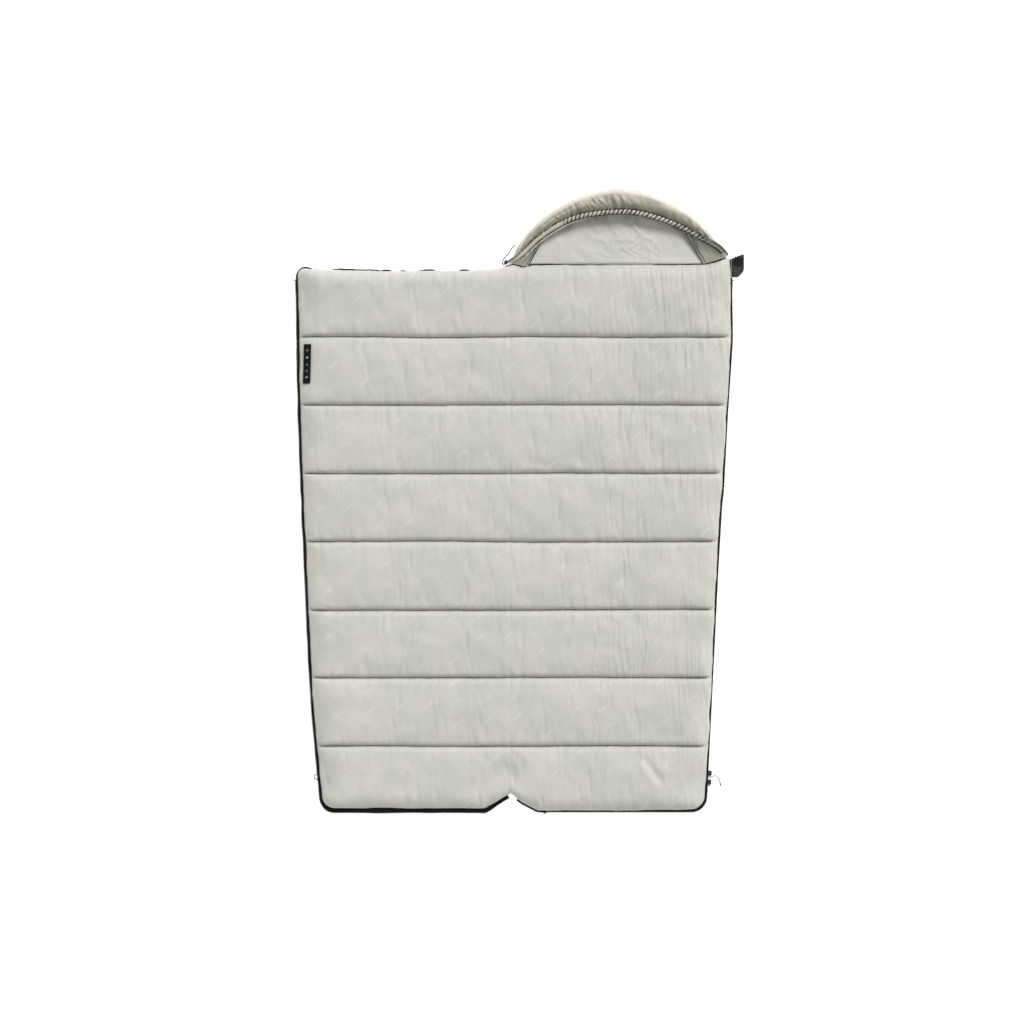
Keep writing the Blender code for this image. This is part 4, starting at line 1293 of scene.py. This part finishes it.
def label():
    """A woven label on the lining, with plain woven lozenges."""
    across, ups = np.meshgrid(np.linspace(0, 1, 7), np.linspace(0, 1, 31))
    y = LABEL_Y + LABEL_LENGTH * ups
    x = -half_width(y) + 0.0065 + LABEL_WIDTH * across + 0.0105 * (ups - 0.5)
    points = xyz(x, y, height_at(x, y, np.maximum) + 0.0016)
    points[..., 2] = np.maximum(points[..., 2], points[..., 2].mean(axis=0, keepdims=True) - 0.004)
    for _ in range(4):
        points[1:-1, :, 2] = (points[:-2, :, 2] + 2 * points[1:-1, :, 2] + points[2:, :, 2]) / 4
    points[..., 2] += 0.0012
    made = surface("label_woven", points, LABEL_CLOTH, points[..., :2])
    thicken(made, 0.0006)
    placed(made, "left_half", "label", "label")
    for number, (middle, colour) in enumerate(LABEL_MARKS):
        thread = webbing(f"label_thread_{number}", colour, pitch=0.0009)
        bm = bmesh.new()
        centre = bm.verts.new(Vector(label_spot(points, 0.5, middle)) + Vector((0, 0, 0.0011)))
        rim = []
        for n in range(16):
            turn = 2 * math.pi * n / 16
            reach = 0.20 / (abs(math.cos(turn)) + abs(math.sin(turn)))
            place = label_spot(points, 0.5 + reach * math.cos(turn), middle + 0.19 * reach * math.sin(turn))
            rim.append(bm.verts.new(Vector(place) + Vector((0, 0, 0.0006))))
        for n in range(16):
            bm.faces.new((centre, rim[n], rim[(n + 1) % 16]))
        floor = bmesh.ops.extrude_edge_only(bm, edges=[e for e in bm.edges if e.is_boundary])
        low = [v for v in floor["geom"] if isinstance(v, bmesh.types.BMVert)]
        for v in low:
            v.co.z -= 0.0007
        bmesh.ops.holes_fill(bm, edges=[e for e in bm.edges if e.is_boundary])
        placed(from_bmesh(f"label_mark_{number}", bm, thread), "left_half", "label")


def label_spot(points, across, up):
    row, column = up * (len(points) - 1), across * (points.shape[1] - 1)
    r, c = int(min(row, len(points) - 2)), int(min(max(column, 0), points.shape[1] - 2))
    s, t = row - r, column - c
    low = points[r, c] * (1 - t) + points[r, c + 1] * t
    high = points[r + 1, c] * (1 - t) + points[r + 1, c + 1] * t
    return low * (1 - s) + high * s


FLAP_HINGE_X = 0.7546
FLAP_Y = 0.957
FLAP_Z = 0.0015
FLAP_REACH, FLAP_TOP, FLAP_BOTTOM = 0.0445, 0.0415, -0.0390
HOOK_PLACE = (0.7785, 0.971)
HOOK_SIZE = 0.031
HOOK_TURN = math.radians(-15)
HOOK_ROWS = 15
HOOK_LEAN, HOOK_RISE, HOOK_R = 0.0007, 0.0011, 0.00026


def flap():
    """The closing flap at the right head corner: a tab of flecked webbing with a rolled edge."""
    reach, top, bottom = FLAP_REACH, FLAP_TOP, FLAP_BOTTOM
    ups, across = np.linspace(0, 1, 33), np.linspace(0, 1, 17)

    def spot(a, u):
        y = bottom + (top - bottom) * u
        rounded = 0.022 * max(0.0, 1 - u / 0.36) ** 1.7 + 0.004 * max(0.0, (u - 0.92) / 0.08) ** 2
        x = 0.0009 + (reach - rounded - 0.0009) * a
        y += -0.016 * (1 - a) * max(0.0, (u - 0.6) / 0.4) ** 2
        edge = min(a, 1 - a) * reach
        end = min(u, 1 - u) * (top - bottom)
        roll = 0.0008 * (1 - min(1.0, min(edge, end) / 0.004))
        return FLAP_HINGE_X + x, FLAP_Y + y, FLAP_Z + 0.0009 - roll

    points = np.array([[spot(a, u) for a in across] for u in ups])
    made = surface("flap_webbing", points, FLAP_CLOTH)
    thicken(made, 0.0016)
    placed(made, "flap", "flap", "flap")
    rim = np.concatenate([points[0], points[1:, -1], points[-1, -2::-1]])
    inner = rim + (points.mean(axis=(0, 1)) - rim) * 0.07
    inner[:, 2] = FLAP_Z + 0.0010
    stitch_rows("flap_stitching", [inner], THREAD, "flap", "flap")


def flap_root():
    """The flap's sewn-in end, under the lining's edge."""
    across, up = np.meshgrid(np.linspace(-0.016, 0.0002, 7), np.linspace(-0.037, 0.024, 24))
    z = FLAP_Z + 0.0009 + 0.0 * across
    points = xyz(FLAP_HINGE_X + across, FLAP_Y + up, z)
    made = surface("flap_root", points, FLAP_CLOTH)
    thicken(made, 0.0014)
    placed(made, "right_half", "flap")


def hook_patch():
    """The square of hook tape: a woven base with rows of small hooks."""
    turn = np.array([[math.cos(HOOK_TURN), -math.sin(HOOK_TURN)], [math.sin(HOOK_TURN), math.cos(HOOK_TURN)]])
    half, low_z, high_z = HOOK_SIZE / 2, 0.0028, 0.0035
    bm = bmesh.new()
    bmesh.ops.create_grid(bm, x_segments=12, y_segments=12, size=half)
    raised = bmesh.ops.extrude_face_region(bm, geom=list(bm.faces), use_keep_orig=True)
    upper = {v for v in raised["geom"] if isinstance(v, bmesh.types.BMVert)}
    for v in bm.verts:
        v.co.z = high_z if v in upper else low_z
    for i in range(HOOK_ROWS):
        for j in range(HOOK_ROWS):
            x = (i + 0.5) / HOOK_ROWS * 2 * half - half
            y = (j + 0.5 + 0.25 * (i % 2)) / (HOOK_ROWS + 0.25) * 2 * half - half
            stations = []
            for bent in (0, 1 / 3, 2 / 3, 1):
                at = Vector((x + HOOK_LEAN * bent**2, y, high_z - 0.0002 + HOOK_RISE * math.sin(bent * 1.9)))
                stations.append((at, 1 - 0.35 * bent))
            add_strand(bm, stations, Vector((HOOK_R, 0, 0)), Vector((0, HOOK_R, 0)))
    for v in bm.verts:
        flat = turn @ np.array([v.co.x, v.co.y])
        v.co.x, v.co.y = HOOK_PLACE[0] + flat[0], HOOK_PLACE[1] + flat[1]
    made = from_bmesh("hook_tape", bm, HOOK_PLASTIC)
    placed(made, "flap", "black_plastic", "hook_patch")


def loop_patch():
    """Loop tape under the left half's head corner."""
    inward, y = np.meshgrid(np.linspace(0.004, 0.024, 9), np.linspace(0.835, 0.892, 21))
    x = -(half_width(y) - inward)
    edge = np.minimum(np.minimum(inward - 0.004, 0.024 - inward), np.minimum(y - 0.835, 0.892 - y))
    z = 0.0009 + 0.0052 * (1 - np.clip(inward / 0.045, 0, 1)) ** 1.4 - 0.0011
    z -= 0.0004 * np.clip(edge / 0.003, 0, 1) + 0.0003 * lumps(x, y, 0.0025, 0.0025, 95)
    made = surface("loop_tape", xyz(x, y, np.maximum(z, 0.0002)), BLACK_TAPE, flip=True)
    thicken(made, 0.0006)
    placed(made, "left_half", "black_tape", "loop_patch")


LOOP_Y = -0.817
LOOP_FOOT_X = -0.6811


def hang_loop():
    """The cord loop outside the zip near the left foot corner."""
    points = []
    for n in range(25):
        angle = math.pi * (n / 24 - 0.5)
        x = LOOP_FOOT_X - 0.013 * math.cos(angle) ** 0.8
        points.append((x, LOOP_Y + 0.009 * math.sin(angle), 0.0022 + 0.0004 * math.cos(angle)))
    made = tube("hang_loop_cord", points, 0.0013, 10, CORD)
    placed(made, "hang_loop", "cord", "hang_loop")


bindings()
label()
flap()
flap_root()
hook_patch()
loop_patch()
hang_loop()

# ---------------------------------------------------------------- the hood

HOOD_X = 0.362
HOOD_Y = 0.957
HOOD_HALF_WIDTH = 0.370
HOOD_HEIGHT = 0.2676
HOOD_POWER = 1.7
CROWN_RISE = 0.080
TUNNEL_R = 0.0072
HEM_ROUTE = (
    (0.7385, 0.9900),
    (0.7080, 1.0205),
    (0.6635, 1.0440),
    (0.6180, 1.0680),
    (0.5690, 1.0920),
    (0.4990, 1.1170),
    (0.4300, 1.1340),
    (0.3600, 1.1385),
    (0.2560, 1.1290),
    (0.1770, 1.1060),
    (0.0900, 1.0530),
    (0.0245, 0.9935),
    (-0.0130, 0.9690),
)


def hood_outline(angle):
    """The hood's outer edge in plan, on a superellipse."""
    c, s = np.cos(angle), np.sin(angle)
    x = HOOD_X + HOOD_HALF_WIDTH * np.sign(c) * np.abs(c) ** (2 / HOOD_POWER)
    return xyz(x, HOOD_Y + HOOD_HEIGHT * np.abs(s) ** (2 / HOOD_POWER))


def by_share(path):
    """A path in plan, and how far along it each of its points is, as a share."""
    gone = gone_along(path)
    return path, gone / gone[-1]


HEM_PATH, HEM_SHARES = by_share(smooth_route([(x, y, 0) for x, y in HEM_ROUTE], 0.002)[:, :2])
OUTLINE_PATH, OUTLINE_SHARES = by_share(hood_outline(np.linspace(0.02, np.pi - 0.02, 2000)))
HEM_LENGTH = length_of(HEM_PATH)


def hem_at(share):
    """The hem in plan, from its right end (0) to its left end (1)."""
    return xyz(*(np.interp(share, HEM_SHARES, HEM_PATH[:, k]) for k in (0, 1)))


def outline_at(share):
    return xyz(*(np.interp(share, OUTLINE_SHARES, OUTLINE_PATH[:, k]) for k in (0, 1)))


def arch(share):
    return np.sin(np.pi * np.clip(share, 0, 1))


def rise_at(share):
    """The height of the ridge of the hood's band."""
    return 0.012 + (CROWN_RISE - 0.012) * arch(share) ** 0.7


def hem_z(share):
    """The middle of the hem tunnel."""
    return 0.0110 + 0.050 * arch(share) ** 1.15


def crown_frame(share):
    """For the hood's band: the hem, the band's outer foot, and the way out from the hem."""
    hem, outline = hem_at(share), outline_at(share)
    ahead = hem_at(np.clip(share + 0.004, 0, 1)) - hem_at(np.clip(share - 0.004, 0, 1))
    ahead /= np.linalg.norm(ahead, axis=-1, keepdims=True)
    out = xyz(ahead[..., 1], -ahead[..., 0])
    gap = ((outline - hem) * out).sum(axis=-1)
    trust = smooth((gap - 0.010) / 0.03)[..., None]
    foot = (hem + out * 0.0105) * (1 - trust) + outline * trust
    return hem, foot, out


def crown_surface(along, shares, inset, fold_size):
    """The band from its foot on the ground, over its ridge, to the hem; inset moves it inward."""
    hem, foot, out = crown_frame(along)
    side = hem + out * (TUNNEL_R * 0.80)
    share = shares[None, :]
    ridge = 0.42
    arc = np.sin(np.clip(share / ridge, 0, 1) * np.pi / 2) ** 0.8
    rise, low = rise_at(along)[:, None], 0.0013 + inset * 0.3
    top = 0.0048 + rise - inset
    end = hem_z(along)[:, None] - 0.0040 - inset * 0.4
    past = np.clip((share - ridge) / (1 - ridge), 0, 1)
    z = np.where(share < ridge, low + (top - low) * arc, top + (end - top) * past**1.9)
    width = np.linalg.norm(side - foot, axis=-1)[:, None]
    start = inset / np.maximum(width, 0.02)
    across = np.clip(share**1.25 * (1 - start) + start, 0, 1)
    place = foot[:, None] + (side - foot)[:, None] * across[..., None]
    s, t = np.broadcast_arrays(along[:, None] * HEM_LENGTH, share)
    near_hem = smooth((t - 0.30) / 0.45) * smooth((1.03 - t) / 0.08)
    gathered = bell(s - 0.48, 0.10) + 0.9 * bell(s - 0.12, 0.07)
    tuck = creases(s + 0.03 * t, t, 0.0125, 0.70, 101) * (0.35 + 1.0 * gathered)
    broad = creases(s - 0.05 * t, t, 0.050, 1.1, 103)
    ends = smooth((np.abs(along[:, None] - 0.5) - 0.24) / 0.14)
    z = z + fold_size * (0.0058 * tuck * near_hem + 0.0040 * broad * smooth(t / 0.3) * (0.30 + 0.9 * ends))
    z = z + fold_size * 0.0030 * lumps(s, t, 0.06, 0.35, 104) * smooth(t / 0.2)
    pinch = bell(lumps(s + 0.05 * t, t, 0.013, 0.60, 105), 0.16) * near_hem * (0.35 + 0.8 * gathered)
    z = z - fold_size * 0.0045 * pinch
    crease = bell(t - 0.62 - 0.25 * (along[:, None] - 0.80), 0.045) * smooth((along[:, None] - 0.64) / 0.06)
    z = z - fold_size * 0.0050 * crease
    return np.concatenate([place, z[..., None]], axis=-1)


BAND_WIDTH = 0.125


def hood_band():
    """Shell, wadding and lining of the hood's raised band."""
    along = np.linspace(0, 1, 320)
    shares = np.linspace(0, 1, 32) ** 1.15
    points = crown_surface(along, shares, 0.0, 1.0)
    # The cloth's first coordinate runs across the band, so the painted shade falls near the hem.
    cloth = xyz(*np.meshgrid(shares * BAND_WIDTH, along * HEM_LENGTH))
    made = thicken(surface("hood_shell_gathered", points, BAND, cloth, flip=True), 0.0009)
    placed(made, "hood", "shell", "hood_crown_shell")
    along = np.linspace(0.13, 0.87, 120)
    shares = np.linspace(0.10, 0.90, 12)
    outer = crown_surface(along, shares, 0.0060, 1.0)
    inner = crown_surface(along, shares, 0.0125, 1.0)
    pad = block("hood_band_batting", inner, outer, BATTING)
    placed(pad, "hood", "batting", "hood_crown_batting")
    along = np.linspace(0.08, 0.92, 200)
    shares = np.linspace(0.04, 1, 20)
    points = crown_surface(along, shares, 0.0160, 1.0)
    hang = smooth((shares - 0.8) / 0.2)[None, :]
    points[..., 2] = points[..., 2] * (1 - hang) + (hem_z(along) - TUNNEL_R - 0.002)[:, None] * hang
    made = thicken(surface("hood_band_lining", points, HOOD_LINING), 0.0007)
    placed(made, "hood", "lining", "hood_crown_lining")


ROPE_SIDES = 20


def hem():
    """The drawcord tunnel, gathered into slanting folds like a rope, with two dark tubes beside it as painted
    shadow lines.
    """
    along = np.linspace(0, 1, 620)
    path = np.concatenate([hem_at(along), hem_z(along)[:, None]], axis=1)
    mouth = np.array(LOCK - TAIL_HEADING * (LOCK_R + 0.0015))
    path = even(np.concatenate([path, np.linspace(path[-1], mouth, 8)[1:]]), 0.0016)
    gone = gone_along(path)
    s, share = gone[:, None], (gone / gone[-1])[:, None]
    around = 2 * np.pi * np.arange(ROPE_SIDES)[None, :] / ROPE_SIDES
    slack = smooth((share - 0.66) / 0.12)
    uneven = smooth((0.16 - share) / 0.08)
    phase = 2 * np.pi * s / ROPE_PITCH + (0.5 + 2.0 * uneven) * waves(s, 0.05, 111) - 1.5 * around
    gathers = np.abs(np.sin(phase / 2)) ** 0.7
    long_folds = creases(s, around, 0.030, 1.1, 112)
    radius = 0.78 + 0.34 * gathers * (1 - 0.70 * slack) + 0.16 * long_folds * slack + 0.10 * slack
    radius = TUNNEL_R * radius * (1 - 0.22 * uneven) * (1 - 0.40 * smooth((share - 0.95) / 0.05))
    rings = rings_along(path, radius, ROPE_SIDES)
    # These cloth coordinates carry the gathers' phase and the slack, which place the painted fold shade.
    cloth = xyz(0.0457 * (slack + 0.7 * uneven), phase * ROPE_PITCH / (2 * np.pi))
    made = thicken(surface("hem_tunnel_gathered", rings, HEM, cloth, wrap=True, flip=True), 0.0010)
    placed(made, "hood", "shell", "hem_tunnel")
    cord = tube("drawcord_braid", path[6:-5:4], 0.0020, 8, CORD)
    placed(cord, "hood", "cord", "drawcord")
    aside = unit(np.gradient(path[:, :2], axis=0))
    out = xyz(aside[:, 1], -aside[:, 0], 0.0)
    drop = np.array([0, 0, 0.0010])
    wobble = 0.0008 * waves(gone, 0.018, 114)[:, None]
    # Painted shadow: dark tubes just outside and just inside the tunnel.
    outer = (path + out * (TUNNEL_R + 0.0010 + wobble) + drop * 1.5)[14:-22:3]
    inner = (path - out * (TUNNEL_R + 0.0004 + wobble) - drop)[14:-22:3]
    for word, line in (("outer", outer), ("inner", inner)):
        radius = 0.0016 * (1 + 0.4 * lumps(np.arange(len(line)) * 0.005, np.zeros(len(line)), 0.02, 1.0, 115))
        thread = tube(f"hem_shadow_line_{word}", line, radius[:, None], 6, SHADOW_LINE)
        placed(thread, "hood", "cord")
    part = np.linspace(0, 1, len(path))
    kept = (part > 0.60) & (part < 0.955)
    edge = (path - out * (TUNNEL_R + 0.0062) - drop * 3)[kept][::3]
    thinning = 0.25 + 0.75 * smooth((part[kept][::3] - 0.60) / 0.16)
    fold = tube("hem_inner_edge", edge, 0.0021 * thinning[:, None], 8, BAND)
    placed(fold, "hood", "shell")


def across_neck(made):
    """For a piece where the hood joins the quilt: bakes its place into its mesh."""
    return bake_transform(made)


def back_z(x, y):
    across = np.abs(x - HOOD_X) / HOOD_HALF_WIDTH
    up = np.clip((y - HOOD_Y) / HOOD_HEIGHT, 0, None)
    out = np.clip((across**HOOD_POWER + up**HOOD_POWER) ** (1 / HOOD_POWER), 0, 1)
    return 0.003 + 0.013 * (1 - out**2)


def back_grid(rows, columns, inset=0.0):
    up = np.linspace(0, 0.985, rows)[:, None]
    across = np.linspace(-1, 1, columns)[None, :] + 0 * up
    y = HOOD_Y + 0.0008 + HOOD_HEIGHT * (up + inset * (0.5 - up) * 2) + 0 * across
    share = np.clip((y - HOOD_Y) / HOOD_HEIGHT, 0, 1)
    span = HOOD_HALF_WIDTH * (1 - share**HOOD_POWER) ** (1 / HOOD_POWER)
    return HOOD_X + across * (span - inset * HOOD_HALF_WIDTH * 0.6), y


def hood_back():
    """The panel that lies under the head: lining, wadding and shell."""
    x, y = back_grid(100, 230)
    middle = np.exp(-((x - 0.40) ** 2) / 0.020 - (y - 1.045) ** 2 / 0.0045)
    crinkle = creases(x + 0.7 * y, y, 0.030, 0.040, 121) * 0.0019 * middle
    crinkle += creases(x - 0.9 * y, y, 0.017, 0.030, 122) * 0.0013 * middle
    hem_y = np.interp(x, HEM_PATH[::-1, 0], HEM_PATH[::-1, 1])
    near = np.exp(-np.clip(hem_y - y, 0, None) / 0.030)
    crinkle += (0.0080 * near + 0.0008) * creases(x + 0.3 * y, y, 0.034, 0.09, 123)
    right = bell(x - 0.50, 0.075) * smooth((y - 1.03) / 0.05)
    crinkle += 0.0075 * right * creases(x + 0.8 * y, y, 0.050, 0.12, 126)
    crinkle *= 1 - smooth((np.abs(x - 0.36) - 0.20) / 0.05)
    crinkle += 0.0012 * lumps(x, y, 0.05, 0.04, 124)
    seam = smooth((y - HOOD_Y) / 0.010)
    z = back_z(x, y) * (0.55 + 0.45 * seam) + crinkle * seam + 0.0045 * seam
    z = np.maximum(z, 0.0030)
    made = thicken(surface("hood_back_panel", xyz(x, y, z), HOOD_LINING), 0.0007)
    placed(made, across_neck, "lining", "hood_back_lining")
    x, y = back_grid(24, 40, 0.05)
    top = back_z(x, y) - 0.0055
    pad = block(
        "hood_back_pad",
        xyz(x, y, 0 * x + 0.0014),
        xyz(x, y, np.maximum(top, 0.0021)),
        BATTING,
    )
    placed(pad, across_neck, "batting", "hood_back_batting")
    x, y = back_grid(40, 70)
    z = 0.0009 + 0.0002 * lumps(x, y, 0.04, 0.04, 125)
    made = thicken(surface("hood_back_outer", xyz(x, y, z), SHELL), 0.0007)
    placed(made, across_neck, "shell", "hood_back_shell")


GUSSETS = {
    "left": (0.985, 0.095, (-0.010, 0.9640, 0.0115), (0.048, 0.9530, 0.0125)),
    "right": (0.012, 0.598, (0.7325, 0.9850, 0.0115), (0.657, 0.9620, 0.0125)),
}


def gussets():
    """The side panels that close the hood down to the neck, in soft folds."""
    for word, (end_share, rim_x, corner, neck) in GUSSETS.items():
        up, along = np.meshgrid(np.linspace(0, 1, 44), np.linspace(0, 1, 60))
        rim_share = np.interp(rim_x, HEM_PATH[::-1, 0], HEM_SHARES[::-1])
        middle = np.array([HOOD_X, HOOD_Y])

        def edge(share):
            place = hem_at(share)
            inward = middle - place
            inward /= np.linalg.norm(inward, axis=-1, keepdims=True)
            flat = place + inward * (TUNNEL_R + 0.001)
            return np.concatenate([flat, hem_z(share)[..., None] - 0.003], axis=-1)

        rim = edge(end_share + (rim_share - end_share) * along)
        root = np.array(corner) + (np.array(neck) - np.array(corner)) * along[..., None]
        here = root + (rim - root) * up[..., None]
        sag = 0.35 * up * (1 - up) * (rim[..., 2] - root[..., 2])
        pleats = creases(along * 0.09, up, 0.011, 1.6, 131 if word == "left" else 132)
        deep = bell(along - 0.83, 0.030) + 0.9 * bell(along - 0.94, 0.025)
        arched = np.sin(np.pi * np.clip(0.10 + 0.85 * up, 0, 1))
        here[..., 2] += (0.0026 * pleats - 0.0085 * deep) * arched - sag
        floor = back_z(here[..., 0], here[..., 1]) + 0.0075
        here[..., 2] = np.maximum(here[..., 2], floor)
        made = surface(f"gusset_folded_{word}", here, GUSSET, xyz(along * 0.1, up * 0.08))
        thicken(made, 0.0009)
        placed(made, "hood", "gusset", f"gusset_{word}")
        # Painted shade: two dark tubes along the gusset's deep folds, at its border.
        for number, row in enumerate((-1, -8)):
            line = here[row, 2:-2] + np.array([0, 0, 0.0008])
            thread = tube(f"gusset_fold_shadow_{word}_{number}", line, 0.0013 - 0.0004 * number, 6, SHADOW_LINE)
            placed(thread, "hood", "cord")


hood_band()
hem()
hood_back()
gussets()

# ---------------------------------------------------------------- CAD nodes that stay

KEPT_NODES = {
    BLACK_PLASTIC: (
        "cord_lock_body",
        "cord_lock_plunger",
        "retaining_box",
        "insertion_pin",
        "top_stop_right",
        "top_stop_left",
    ),
    SLIDER_METAL: ("upper_slider_body", "upper_pull_tab", "lower_slider_body", "lower_pull_tab"),
}


def finish_kept_nodes():
    for material, names in KEPT_NODES.items():
        for name in names:
            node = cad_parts[name]
            node.data.materials.clear()
            node.data.materials.append(material)
            soft = node.modifiers.new("eased_edges", "BEVEL")
            soft.width = 0.00025
            soft.segments = 2
            soft.limit_method = "ANGLE"


LOCK_SPOT = (-0.028, 0.969)
SPRING_SEAT, SPRING_TOP = 0.0045, 0.0085
SPRING_R, SPRING_WIRE, SPRING_TURNS = 0.0036, 0.0003, 3.5


def lock_spring():
    """The coil under the plunger, which the plunger presses flat."""
    turn = np.linspace(0, 2 * np.pi * SPRING_TURNS, 90)
    low, high = SPRING_SEAT + SPRING_WIRE + 0.0002, SPRING_TOP - SPRING_WIRE - 0.0002
    x, y = LOCK_SPOT[0] + SPRING_R * np.cos(turn), LOCK_SPOT[1] + SPRING_R * np.sin(turn)
    path = xyz(x, y, np.linspace(low, high, len(turn)))
    coil = tube("lock_spring_wound", path, SPRING_WIRE, 8, SPRING_STEEL)
    placed(coil, "cord_lock", "spring_steel", "lock_spring")
    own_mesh(coil)


finish_kept_nodes()
lock_spring()

# ---------------------------------------------------------------- floor and light

FLOOR_SIZE = 180
FLOOR_GLOW = 0.55
SUN_ENERGY = 2.4
SUN_ANGLE = math.radians(26)
WORLD_STRENGTH = 0.50
SUN_FROM = Vector((0.44, 0.86, 0.95))


def stage():
    bm = bmesh.new()
    bmesh.ops.create_grid(bm, x_segments=2, y_segments=2, size=FLOOR_SIZE / 2)
    mesh = bpy.data.meshes.new("floor")
    bm.to_mesh(mesh)
    bm.free()
    m = Material("pale_floor", (0.93, 0.93, 0.93), 0.9, specular=0.1)
    m.paint(m.mix(m.noise(m.place(), 3.0), (0.925, 0.925, 0.925), (0.935, 0.935, 0.935)))
    m.shader.inputs["Emission Color"].default_value = (1, 1, 1, 1)
    m.shader.inputs["Emission Strength"].default_value = FLOOR_GLOW
    mesh.materials.append(m.made)
    floor = link("floor", mesh)
    floor.location.z = -0.0006
    sun = bpy.data.lights.new("key", "SUN")
    sun.energy = SUN_ENERGY
    sun.angle = SUN_ANGLE
    lamp = link("key", sun)
    lamp.rotation_mode = "QUATERNION"
    lamp.rotation_quaternion = SUN_FROM.to_track_quat("Z", "Y")
    world = bpy.data.worlds.new("studio")
    world.use_nodes = True
    light = world.node_tree.nodes["Background"].inputs
    light["Color"].default_value = (1, 1, 1, 1)
    light["Strength"].default_value = WORLD_STRENGTH
    bpy.context.scene.world = world
    bpy.context.scene.view_settings.view_transform = "Standard"


stage()
